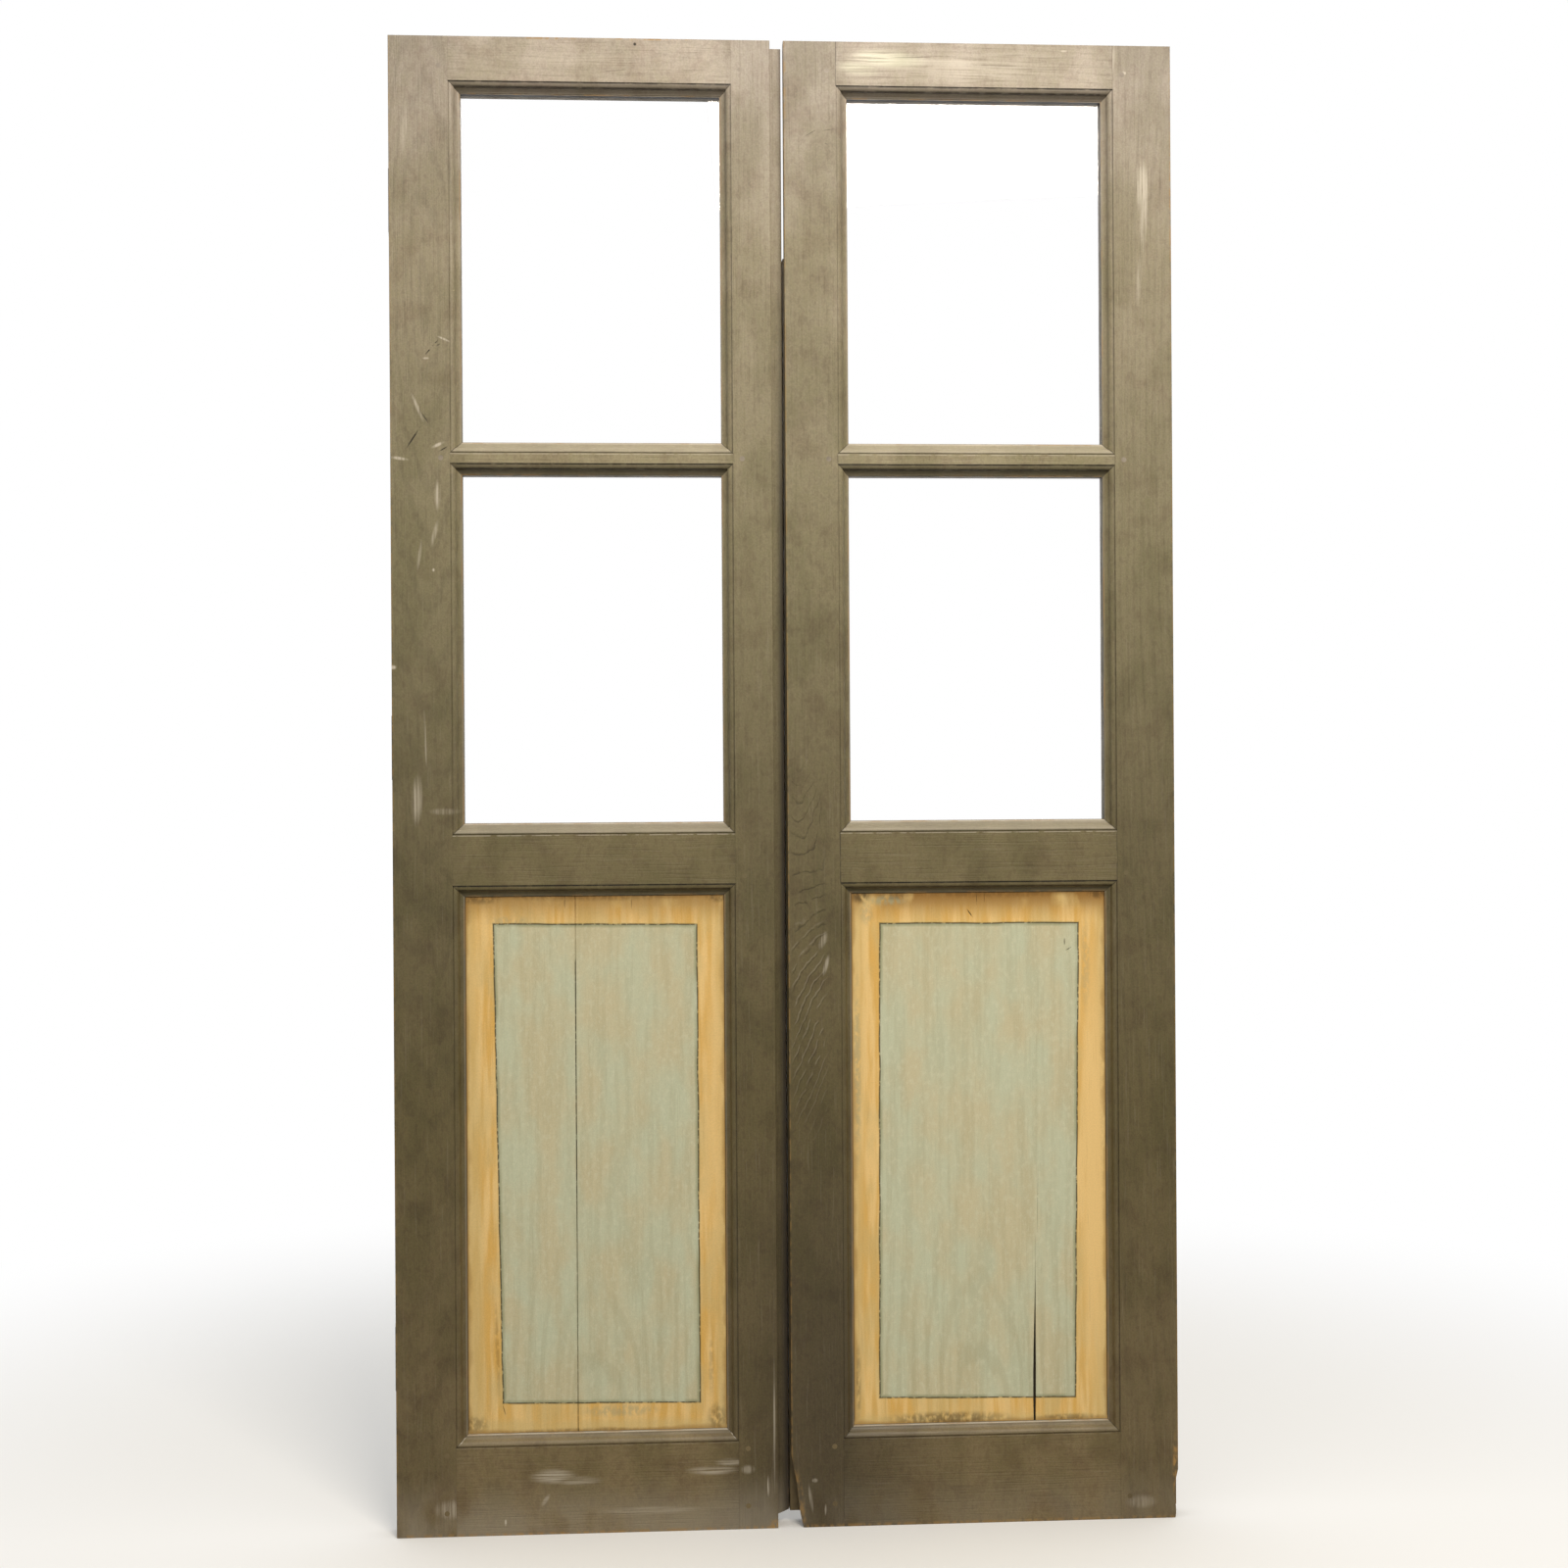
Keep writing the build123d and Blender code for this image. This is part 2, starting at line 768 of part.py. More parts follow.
def hinge_pins(side):
    """The three pins of a side, fast in the jamb halves, each with a button under its knuckle."""
    with BuildPart() as group:
        for foot in hinge_feet(side):
            with BuildSketch(Plane.XY.offset(foot)):
                with Locations((side * pin_x, pin_y)):
                    Circle(pin_radius)
            extrude(amount=hinge_height / 2 + pin_reach)
            with BuildSketch(Plane.XY.offset(foot - pin_button_height)):
                with Locations((side * pin_x, pin_y)):
                    Circle(pin_button_radius)
            extrude(amount=pin_button_height)
    return group.part


os.makedirs("parts", exist_ok=True)
pieces = {}
for side_name, side in sides.items():
    pieces[side_name + "_hinge_stile"] = hinge_stile(side)
    pieces[side_name + "_meeting_stile"] = meeting_stile(side)
    for rail_name in rails:
        pieces[side_name + "_" + rail_name] = rail(side, rail_name)
    for light_name, (low, high) in lights.items():
        pieces[side_name + "_" + light_name + "_glass"] = glass_pane(side, low, high)
        for where in ("hinge", "meeting", "foot", "head"):
            pieces[side_name + "_" + light_name + "_bead_" + where] = bead(side, low, high, where)
    pieces[side_name + "_pegs"] = pegs(side)
    pieces[side_name + "_wedges"] = wedges(side)
    for place, foot in zip(hinge_places, hinge_feet(side)):
        pieces[side_name + "_" + place + "_hinge_leaf"] = hinge_half(side, foot, False)
        pieces[side_name + "_" + place + "_hinge_jamb"] = hinge_half(side, foot, True)
    pieces[side_name + "_hinge_pins"] = hinge_pins(side)
pieces["left_panel_outer_board"] = panel_board(-1, True)
pieces["left_panel_inner_board"] = panel_board(-1, False)
pieces["right_panel"] = split_panel(1)

for name, piece in pieces.items():
    piece.label = name
    export_step(piece, "parts/" + name + ".step")
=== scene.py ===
"""Looks for a pair of old glazed door leaves, framed, pegged and painted, built around their solid model.

The file is laid out as an add-on: two groups of settings, an operator for each group of pieces and one for
the stage, and a panel that lists them. Everything is in metres, in the solid model's own frame:
+Z up, the front of the closed pair faces -Y, and X runs across both leaves.
"""

import math
from functools import reduce

import bpy
import numpy as np
from mathutils import Matrix, Vector


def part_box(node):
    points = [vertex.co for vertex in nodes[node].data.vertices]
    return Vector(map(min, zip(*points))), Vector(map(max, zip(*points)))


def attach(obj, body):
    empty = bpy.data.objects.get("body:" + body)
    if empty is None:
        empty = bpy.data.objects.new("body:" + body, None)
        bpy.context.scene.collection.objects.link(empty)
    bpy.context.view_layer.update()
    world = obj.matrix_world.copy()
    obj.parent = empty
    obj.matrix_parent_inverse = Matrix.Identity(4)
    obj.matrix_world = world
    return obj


bl_info = {
    "name": "Glazed Door Pair",
    "version": (1, 0, 0),
    "blender": (4, 5, 0),
    "location": "3D View > Sidebar > Doors",
    "description": "Paint, glass, hinge metal and small fixings for a pair of old glazed door leaves",
    "category": "Object",
}

WHITE = (1.0, 1.0, 1.0, 1.0)
mm = 0.001

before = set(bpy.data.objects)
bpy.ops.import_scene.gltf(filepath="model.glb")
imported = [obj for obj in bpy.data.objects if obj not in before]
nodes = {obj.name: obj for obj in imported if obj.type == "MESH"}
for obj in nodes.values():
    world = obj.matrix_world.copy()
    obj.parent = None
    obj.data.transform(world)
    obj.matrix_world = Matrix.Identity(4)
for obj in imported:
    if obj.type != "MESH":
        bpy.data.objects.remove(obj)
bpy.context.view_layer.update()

# Sizes of the joinery that the finishes follow
moulding_width = 16 * mm
screw_spacing = 54 * mm
tongue_thickness = 20 * mm
strip_room = 16.2 * mm
strip_foot = 18 * mm
# Above this the strip is lost and the joint is open to the light, as in the photo
strip_top = 1797 * mm

SIDES = {"left": -1, "right": 1}
STILES = ("hinge_stile", "meeting_stile")
RAILS = ("bottom_rail", "lock_rail", "glazing_bar", "top_rail")
LIGHTS = ("lower", "upper")
PLACES = ("bottom", "middle", "top")
MARGINS = ("hinge", "meeting", "foot", "head")


def linear(code):
    """An sRGB hex colour as linear red, green, blue and an alpha of one."""
    channels = []
    for start in (1, 3, 5):
        value = int(code[start : start + 2], 16) / 255
        channels.append(value / 12.92 if value <= 0.04045 else ((value + 0.055) / 1.055) ** 2.4)
    return (*channels, 1.0)


def span(node, axis):
    """Lowest and highest place of a solid along an axis, 0 to 2 for X to Z."""
    low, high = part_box(node)
    return low[axis], high[axis]


def leaf_layout(side_name):
    """Where a leaf's openings, edges and meeting line are, read from the solid model's boxes."""
    stiles = sorted(span(f"{side_name}_{stile}", 0) for stile in STILES)
    (low_edge, sight_low), (sight_high, high_edge) = stiles
    heights = [span(f"{side_name}_{rail}", 2) for rail in RAILS]
    openings = [(below[1], above[0]) for below, above in zip(heights, heights[1:])]
    return {
        "centre": (sight_low + sight_high) / 2,
        "half_width": (sight_high - sight_low) / 2,
        "openings": [((low + high) / 2, (high - low) / 2) for low, high in openings],
        "edges": (low_edge, high_edge),
        "height": heights[-1][1],
    }


LEAVES = {name: leaf_layout(name) for name in SIDES}
face_y, back_y = span("left_hinge_stile", 1)
leaf_height = LEAVES["left"]["height"]


def node(kind, links=None, out=0, stops=None, tree=None, **settings):
    """Adds a shader node with its settings, links or values by socket, and a ramp's stops.

    It goes into the tree that its links come from, or into the one given, and gives one of its outputs.
    """
    links = links or {}
    sockets = [value for value in links.values() if isinstance(value, bpy.types.NodeSocket)]
    tree = tree or sockets[0].id_data
    made = tree.nodes.new("ShaderNode" + kind)
    for key, value in settings.items():
        setattr(made, key, value)
    for key, value in links.items():
        if isinstance(value, bpy.types.NodeSocket):
            tree.links.new(value, made.inputs[key])
        else:
            made.inputs[key].default_value = value
    for number, (position, shade) in enumerate(stops or ()):
        elements = made.color_ramp.elements
        stop = elements[number] if number < 2 else elements.new(position)
        stop.position = position
        stop.color = shade
    return made.outputs[out]


def new_material(name, values=None):
    """A material with a Principled shader of these values; gives both and the place on the object."""
    material = bpy.data.materials.new(name)
    material.use_nodes = True
    tree = material.node_tree
    tree.nodes.clear()
    shader = node("BsdfPrincipled", values, tree=tree).node
    output = tree.nodes.new("ShaderNodeOutputMaterial")
    tree.links.new(shader.outputs[0], output.inputs[0])
    return material, shader, node("TexCoord", out=3, tree=tree)


def wire(shader, links):
    """Links values to the shader's sockets by name."""
    for name, value in links.items():
        shader.id_data.links.new(value, shader.inputs[name])


def wear(shader, colour, roughness, height, depth):
    """Wires a colour, a roughness and a surface relief of this depth in metres into the shader."""
    relief = node("Bump", {"Strength": 1.0, "Distance": depth, "Height": height})
    wire(shader, {"Base Color": colour, "Roughness": roughness, "Normal": relief})


def dress(material, *names):
    """Gives CAD nodes this material."""
    for name in names:
        mesh = nodes[name].data
        mesh.materials.clear()
        mesh.materials.append(material)


def above(value, low, high):
    """A mask that rises smoothly from 0 at the low value to 1 at the high one."""
    return node("MapRange", {0: value, 1: low, 2: high}, interpolation_type="SMOOTHSTEP")


def apart(value, centre):
    """How far a value lies from a centre, either way."""
    away = node("Math", {0: value, 1: centre}, operation="SUBTRACT")
    return node("Math", {0: away}, operation="ABSOLUTE")


def near(value, centre, reach):
    """A mask that is 1 where the value is at the centre and falls smoothly to 0 at the reach."""
    return above(apart(value, centre), reach, 0.0)


def folded(operation, values):
    """Several values put together from left to right by one operation."""
    return reduce(lambda one, other: node("Math", {0: one, 1: other}, operation=operation), values)


def times(*factors):
    """The product of several masks or numbers."""
    return folded("MULTIPLY", factors)


def most(*masks):
    """The strongest of several masks."""
    return folded("MAXIMUM", masks)


def blend(under, over, *factors, kind="MIX"):
    """One colour with another laid over it, by the product of several masks or numbers."""
    links = {0: times(*factors), 6: under, 7: over}
    return node("Mix", links, out=2, data_type="RGBA", blend_type=kind)


def layered(colour, layers, kind="MIX"):
    """Lays colours over one, each where its noise goes from a low to a high value and at its strength."""
    for shade, noise, low, high, strength in layers:
        colour = blend(colour, shade, above(noise, low, high), strength, kind=kind)
    return colour


def cloud(place, size, detail=3.0, shift=0.0):
    """Noise whose blotches are about this many millimetres wide, deep and high: one number or three."""
    sizes = size if isinstance(size, tuple) else (size, size, size)
    scale = tuple(1 / (each * mm) for each in sizes)
    moved = node("Mapping", {0: place, "Location": (shift, shift, shift), "Scale": scale})
    return node("TexNoise", {"Vector": moved, "Scale": 1.0, "Detail": detail})


def marks(place, ragged, spots):
    """A mask of narrow ovals: each has its X, Z, half width, half length, tilt in degrees and strength.

    An oval is the inside of |turned and scaled place - centre| < 1, faded at its rim and torn by the
    ragged mask.
    """
    ovals = []
    for x, z, half_width, half_length, tilt, strength in spots:
        links = {
            0: place,
            "Location": (x * mm, 0.0, z * mm),
            "Rotation": (0.0, math.radians(tilt), 0.0),
            "Scale": (half_width * mm, 1000.0, half_length * mm),
        }
        local = node("Mapping", links, vector_type="TEXTURE")
        distance = node("VectorMath", {0: local}, out=1, operation="LENGTH")
        ovals.append(times(above(distance, 1.0, 0.3), ragged, strength))
    return most(*ovals)


def opening_distances(x, z, leaf):
    """How far a point lies outside the openings: sideways, up or down, and whichever is more.

    Sideways is |x - centre| - half width; up or down is the least of |z - middle| - half height.
    """
    sideways = node("Math", {0: apart(x, leaf["centre"]), 1: leaf["half_width"]}, operation="SUBTRACT")
    heights = [
        node("Math", {0: apart(z, middle), 1: half_height}, operation="SUBTRACT")
        for middle, half_height in leaf["openings"]
    ]
    upright = folded("MINIMUM", heights)
    return sideways, upright, most(sideways, upright)


# Soft pale rubs and polish, with painted sheen on the right top rail and high on the right hinge stile: X, Z,
# half width, half length (mm), tilt in degrees, strength
RUBS_AND_SHEEN = {
    "left_hinge_stile": [
        (-531, 1976, 6, 52, 4, 0.45), (-488, 1457, 5, 25, 0, 0.65), (-492, 1405, 4, 23, 14, 0.45),
        (-513, 1375, 3, 27, 8, 0.45), (-507, 1118, 2, 48, -2, 0.55), (-519, 1032, 9, 42, 2, 0.60),
        (-481, 1015, 26, 6, 0, 0.30), (-477, 38, 28, 17, 0, 0.40), (-541, 1509, 16, 3, 8, 0.80),
        (-487, 1528, 12, 3, -25, 0.90), (-515, 1580, 3, 25, -22, 0.60), (-494, 1353, 3, 3, 0, 1.00),
        (-552, 1217, 7, 4, 0, 1.00), (-478, 1676, 12, 2, 24, 0.80), (-503, 1649, 6, 2, 0, 0.70),
        (-469, 64, 1.6, 19, 0, 0.90),
    ],
    "left_bottom_rail": [
        (-335, 81, 38, 13, 0, 0.60), (-300, 74, 40, 8, 0, 0.35), (-112, 84, 44, 8, 0, 0.50),
        (-87, 95, 26, 7, 0, 0.40), (-402, 18, 2, 6, 0, 1.00), (-462, 132, 1.6, 10, 45, 0.80),
        (-82, 132, 1.6, 10, -45, 0.80), (-346, 48, 4, 12, 35, 0.50), (-200, 30, 90, 7, 0, 0.25),
    ],
    "left_meeting_stile": [
        (-24, 150, 2, 110, 0, 0.40), (-33, 60, 2, 18, 0, 0.70), (-62, 84, 12, 8, 0, 0.40),
    ],
    "right_hinge_stile": [
        (512, 1898, 12, 46, 0, 0.75), (514, 1860, 7, 70, 3, 0.55), (507, 1770, 5, 50, 4, 0.35),
        (470, 2075, 4, 30, 5, 0.70), (487, 2061, 4, 3, 0, 1.00), (500, 24, 26, 12, 0, 0.30),
    ],
    "right_meeting_stile": [
        (27, 40, 3, 24, -8, 0.45), (33, 66, 5, 4, 0, 0.60), (48, 24, 2, 10, 0, 0.50),
        (49, 829, 6, 16, 20, 0.40), (53, 794, 4, 18, 15, 0.50),
    ],
    "right_top_rail": [
        (131, 2077, 50, 15, 0, 0.95), (96, 2062, 26, 12, 0, 0.50), (230, 2072, 90, 8, 0, 0.60),
        (330, 2084, 90, 5, 0, 0.35), (270, 2064, 150, 26, 0, 0.40), (400, 2091, 6, 2, 0, 1.00),
    ],
    "left_top_rail": [(-300, 2070, 120, 12, 0, 0.25)],
}
# Painted glare where the right top rail shines palest
PAINTED_GLARE = {"right_top_rail": [(150, 2076, 64, 17, 3, 0.65), (108, 2062, 38, 13, 8, 0.50)]}
# Dark scores and small cracks
SCORES = {
    "left_hinge_stile": [
        (-495, 1664, 1.3, 20, 41, 1.0), (-485, 1668, 1.2, 17, 67, 0.9), (-521, 1538, 1.6, 23, 33, 1.0),
        (-505, 1566, 1.3, 12, -35, 0.7), (-480, 1522, 1.3, 9, 60, 0.9), (-553, 1511, 2, 4, 0, 1.0),
    ],
    "left_top_rail": [(-209, 2092, 3, 3, 0, 1.0), (-240, 2054, 1, 30, 84, 0.3)],
    "right_meeting_stile": [
        (36, 1969, 1.0, 16, 60, 0.45), (55, 1958, 1.0, 12, -62, 0.45), (64, 1975, 0.9, 12, 80, 0.35),
    ],
    "right_top_rail": [(185, 2079, 0.8, 42, 88, 0.5), (304, 2069, 0.8, 60, 91, 0.4)],
}
# Chips down to the bare or ochre wood
BARE = {
    "left_meeting_stile": [(-22, 2, 12, 14, 0, 0.9)],
    "left_top_rail": [(-207, 2097, 11, 7, 0, 1.0), (-190, 2100, 90, 3, 0, 1.0), (-330, 2099, 60, 3, 0, 0.7)],
    "left_bottom_rail": [(-300, 0, 200, 3, 0, 0.7)],
    "right_meeting_stile": [(12, 40, 7, 60, -8, 0.5), (2, 2030, 3, 90, 0, 0.3)],
    "right_hinge_stile": [(549, 70, 5, 60, 0, 0.9), (553, 1860, 3, 120, 0, 0.7)],
}
# Flat-sawn figure that shows through: where the growth rings are centred (X, Z in mm), their spacing (mm),
# how far they are drawn out along the board, and how dark they are
FIGURES = {
    "left_hinge_stile": (-505, 1740, 11, 7.0, 0.10),
    "right_hinge_stile": (575, 1500, 10, 11.0, 0.08),
    "left_top_rail": (-330, 2085, 9, 6.0, 0.07),
    "right_top_rail": (200, 2030, 8, 9.0, 0.08),
}
# How dark the joint between a rail's shoulder and a stile is, where it isn't filled with paint
SHOULDERS = {
    "right_meeting_stile": 0.65,
    "right_lock_rail": 0.65,
    "right_top_rail": 0.40,
    "left_hinge_stile": 0.06,
    "left_top_rail": 0.06,
}
# How much dust lies on the feet of each leaf
DUST = {"left": 0.24, "right": 0.10}


def growth_rings(place, figure, along):
    """Thin dark lines of nested ovals round a centre, drawn out along the board and shaken by noise."""
    ring_x, ring_z, spacing, drawn, depth = figure
    scale = math.pi / 10 / (spacing * mm)
    stretch = (scale, scale * 0.4, scale / drawn)
    stretch = stretch if along == "z" else stretch[::-1]
    centre = (ring_x * mm, face_y - 30 * mm, ring_z * mm)
    centred = node("VectorMath", {0: place, 1: centre}, operation="SUBTRACT")
    drawn_out = node("VectorMath", {0: centred, 1: stretch}, operation="MULTIPLY")
    settings = {"Vector": drawn_out, "Scale": 1.0, "Distortion": 9.0, "Detail": 3.0, "Detail Scale": 0.8}
    rings = node("TexWave", settings, out=1, wave_type="RINGS", rings_direction="SPHERICAL")
    return times(above(rings, 0.36, 0.04), depth)


def rippled_figure(place, x, z):
    """The right leaf's crossed grain: arcs that hang like U above and lean like / lower down.

    Its level is z - 62 (x - x0)^2 near the top and z - g (x - x0) below, where g grows as z falls;
    the ridges are where this level, shaken by noise, passes a multiple of their spacing. Their grooves are
    dark grain with painted shade, and their crests get a painted highlight.
    """
    spacing = 25 * mm
    off = node("Math", {0: x, 1: 16 * mm}, operation="SUBTRACT")
    bend = times(above(z, 0.92, 1.02), 62.0)
    lean = node("MapRange", {0: z, 1: 0.96, 2: 0.70, 3: 0.05, 4: 2.3}, interpolation_type="SMOOTHSTEP")
    shake = cloud(place, (22, 22, 30), 2.0, 9.0)
    shake = node("MapRange", {0: shake, 3: 16 * mm, 4: -16 * mm})
    level = folded("SUBTRACT", (z, times(off, off, bend), times(off, lean), shake))
    step = node("Math", {0: times(level, 1 / spacing)}, operation="FRACT")
    beside = times(above(x, 1 * mm, 10 * mm), above(x, 60 * mm, 44 * mm))
    area = times(above(z, 1.12, 1.0), above(z, 0.50, 0.72), beside)
    breaks = above(cloud(place, 16, 3.0, 2.0), 0.36, 0.52)
    groove = times(above(step, 0.14, 0.02), area, breaks)
    crest_highlight = times(near(step, 0.24, 0.12), area, breaks, above(z, 0.90, 0.80))
    return groove, crest_highlight


# Painted shade in a moulding's quirk, crease, hollow and reveal and a painted highlight on its fillet, by how
# strongly
# each shows: on the stiles that face the light, on the other stiles, and on the rails along the foot and
# along the head of an opening
MOULDING_SHADE_AND_HIGHLIGHT = {
    "lit stile": (0.0, 0.0, 0.0, 0.45, 0.24),
    "stile": (0.32, 0.06, 0.0, 0.60, 0.20),
    "foot": (0.35, 0.0, 0.05, 0.25, 0.85),
    "head": (0.92, 0.80, 0.50, 0.95, 0.10),
}


def frame_paint(paint, side_name, part_name, number):
    """Oil paint, brushed over raised softwood grain and waxed: an even skin with a low sheen.

    The eye gets a grey olive brown that is paler at the top with painted sheen, mottled with green and mauve,
    with dark lines of painted shade in the mouldings under each rail, painted light and pale worn edges on
    those that face up, painted glare on the right top rail, and rubs where hands and feet pass.
    """
    leaf = LEAVES[side_name]
    board = f"{side_name}_{part_name}"
    is_rail = part_name in RAILS
    material, shader, place = new_material("painted_" + board, {"Specular IOR Level": 0.3})
    x, y, z = node("SeparateXYZ", {0: place}).node.outputs
    shift = number * 1.37
    grain = node("Mapping", {0: place, "Rotation": (0.0, math.pi / 2 if is_rail else 0.0, 0.0)})
    sideways, upright, outside = opening_distances(x, z, leaf)

    # Fibres about 2.5 mm wide and 70 mm long, blotches of 100 mm, flecks of 8 mm and specks of 2 mm
    fibres = cloud(grain, (2.5, 8, 70), 4.0, shift)
    blotches = cloud(place, (60, 60, 110), 3.0, shift)
    tints = cloud(place, 45, 3.0, shift + 8)
    flecks = cloud(place, (7, 7, 12), 4.0, shift)
    specks = cloud(place, 2.4, 2.0, shift)
    torn = above(flecks, 0.40, 0.60)
    broken = above(cloud(place, 14, 3.0, shift + 3), 0.36, 0.50)
    streaked = above(fibres, 0.22, 0.66)

    # The paint's tone by height, paler at the top with painted sheen from above, with green and mauve in it
    height = node("MapRange", {0: z, 1: 0.0, 2: leaf_height})
    stops = [
        (0.0, paint.frame_foot),
        (1.0, paint.frame_top_sheen),
        (0.28, paint.frame_low),
        (0.45, paint.frame_middle),
        (0.66, paint.frame_upper),
        (0.86, paint.frame_high_sheen),
    ]
    tone = node("ValToRGB", {0: height}, stops=stops)
    layers = (
        (paint.frame_green, blotches, 0.42, 0.62, 0.34),
        (paint.frame_mauve, tints, 0.50, 0.68, 0.30),
        (paint.frame_green, flecks, 0.48, 0.62, 0.22),
        (paint.frame_mauve, flecks, 0.52, 0.38, 0.22),
    )
    tone = layered(tone, layers, "SOFT_LIGHT")

    # Rails are a little paler towards their middle, and the meeting stiles darker towards the foot
    rail_zone = times(above(sideways, 45 * mm, -25 * mm), above(upright, -2 * mm, 8 * mm))
    low_inside = times(near(x, 60 * mm, 230 * mm), above(z, 0.80, 0.15))
    values = [
        node("MapRange", {0: mask, 1: low, 2: high, 3: at_low, 4: at_high})
        for mask, low, high, at_low, at_high in (
            (flecks, 0.3, 0.7, 0.94, 1.06),
            (specks, 0.3, 0.7, 0.90, 1.10),
            (rail_zone, 0.0, 1.0, 1.0, 1.26),
            (low_inside, 0.0, 1.0, 1.0, 0.48),
        )
    ]
    tone = node("HueSaturation", {"Value": times(*values), "Color": tone})
    tone = layered(tone, [(paint.dirt_and_shade, fibres, 0.46, 0.30, 0.11), (paint.rubbed_and_highlight, fibres, 0.58, 0.72, 0.05)])
    tone = blend(tone, paint.rubbed_and_highlight, above(z, 90 * mm, 0.0), above(blotches, 0.30, 0.60), DUST[side_name])

    carved = times(above(fibres, 0.46, 0.30), 0.3)
    if board in FIGURES:
        rings = growth_rings(place, FIGURES[board], "x" if is_rail else "z")
        tone = blend(tone, paint.dirt_and_shade, rings)
        carved = node("Math", {0: carved, 1: rings}, operation="ADD")
    if board == "right_meeting_stile":
        groove, crest_highlight = rippled_figure(place, x, z)
        # Dark grain grooves with painted shade, and a painted highlight on the crests
        tone = blend(tone, paint.dirt_and_shade, groove, 0.45)
        tone = blend(tone, paint.rubbed_and_highlight, crest_highlight, 0.17)
        carved = node("Math", {0: groove, 1: carved}, operation="ADD")

    if is_rail:
        middle = sum(span(board, 2)) / 2
        is_head = above(z, middle + 1 * mm, middle - 1 * mm)
        ends = zip(MOULDING_SHADE_AND_HIGHLIGHT["foot"], MOULDING_SHADE_AND_HIGHLIGHT["head"])
        tones = [node("MapRange", {0: is_head, 3: at_foot, 4: at_head}) for at_foot, at_head in ends]
    else:
        # Painted light and shade: the stiles whose mouldings face the lamp get the lighter moulding tones
        is_lit = board in ("left_hinge_stile", "right_meeting_stile")
        tones = MOULDING_SHADE_AND_HIGHLIGHT["lit stile" if is_lit else "stile"]
    quirk, crease, hollow, reveal, fillet = tones
    thin = node("MapRange", {0: broken, 3: 0.55, 4: 1.0})
    across_mitre = node("Math", {0: sideways, 1: upright}, operation="SUBTRACT")
    in_moulding = above(outside, moulding_width + 0.6 * mm, moulding_width)
    beside_rail = above(upright, moulding_width - 1 * mm, moulding_width)
    # Painted shade in the quirk, crease, hollow and reveal, with dark mitre lines and dark joints at the
    # rails' shoulders
    dirt_and_shade = most(
        times(near(outside, moulding_width - 1.0 * mm, 2.2 * mm), quirk, thin),
        times(near(outside, 9.0 * mm, 2.0 * mm), crease, thin),
        times(near(outside, 4.6 * mm, 4.4 * mm), hollow),
        times(above(outside, 0.6 * mm, 0.2 * mm), reveal),
        times(near(across_mitre, 0.0, 1.6 * mm), in_moulding, 0.7),
        times(near(sideways, moulding_width, 1.6 * mm), beside_rail, broken, SHOULDERS.get(board, 0.22)),
    )
    # Painted highlight on the moulding's fillet
    tone = blend(tone, paint.rubbed_and_highlight, near(outside, 1.2 * mm, 1.7 * mm), fillet)
    if is_rail:
        # Painted light on the moulding above a rail, with the arris behind its quirk worn pale; painted shade
        # on the moulding below it
        lit = 0.25 if part_name == "bottom_rail" else 1.0
        in_band = times(above(outside, 15 * mm, 13 * mm), above(outside, 0.0, 1 * mm))
        worn_arris = times(near(outside, moulding_width + 1.4 * mm, 1.2 * mm), broken, 0.45 * lit)
        is_foot = node("Math", {0: 1.0, 1: is_head}, operation="SUBTRACT")
        tone = blend(tone, paint.rubbed_and_highlight, most(times(in_band, 0.30 * lit), worn_arris), is_foot)
        tone = blend(tone, paint.dirt_and_shade, in_band, is_head, above(z, 0.9, 1.5), 0.45)
    if board == "left_meeting_stile":
        # Painted shade on the lip, darker towards the joint and further down
        tone = blend(tone, paint.dirt_and_shade, above(x, -15 * mm, -4 * mm), above(z, strip_top + 40 * mm, 1.3), 0.85)
    tone = blend(tone, paint.dirt_and_shade, dirt_and_shade)

    # Ochre undercoat on the worn edges of the openings, on the outer arrises and along the foot
    patchy = above(cloud(place, (30, 30, 70), 4.0, shift + 2), 0.46, 0.60)
    sight_edge = times(above(outside, 2.6 * mm, 1.0 * mm), above(outside, 0.0, 0.5 * mm))
    tone = blend(tone, paint.undercoat, sight_edge, patchy, 0.50)
    arrises = [near(x, edge, 3.0 * mm) for edge in leaf["edges"]]
    # The outer edge's face is only touched by it: the wear is on the front corner
    front_corner = node("MapRange", {0: near(y, face_y, 6 * mm), 3: 0.22, 4: 1.0})
    tone = blend(tone, paint.undercoat, most(*arrises, above(z, 6 * mm, 1 * mm)), front_corner, torn, 0.50)

    # Hands, feet and tools marked the front only; the painted sheen and glare among the rubs lie there too
    is_front = above(y, 0.0, -2 * mm)
    polish = 0.0
    for table, shade, ragged in (
        (RUBS_AND_SHEEN, paint.rubbed_and_highlight, streaked),
        (PAINTED_GLARE, paint.field_pale, above(fibres, 0.12, 0.56)),
        (BARE, paint.undercoat, torn),
        (SCORES, paint.dirt_and_shade, broken),
    ):
        if board in table:
            mask = times(marks(place, ragged, table[board]), is_front)
            tone = blend(tone, shade, mask)
            if table is SCORES:
                carved = most(carved, mask)
            if table is RUBS_AND_SHEEN:
                polish = mask

    roughness = node("MapRange", {0: blotches, 1: 0.3, 2: 0.7, 3: 0.38, 4: 0.52})
    roughness = node("Math", {0: polish, 1: -0.16, 2: roughness}, operation="MULTIPLY_ADD")
    relief = node("Math", {0: specks, 1: 0.12, 2: times(fibres, 0.45)}, operation="MULTIPLY_ADD")
    relief = node("Math", {0: carved, 1: -0.55, 2: relief}, operation="MULTIPLY_ADD")
    wear(shader, tone, roughness, relief, 0.6 * mm)
    return material


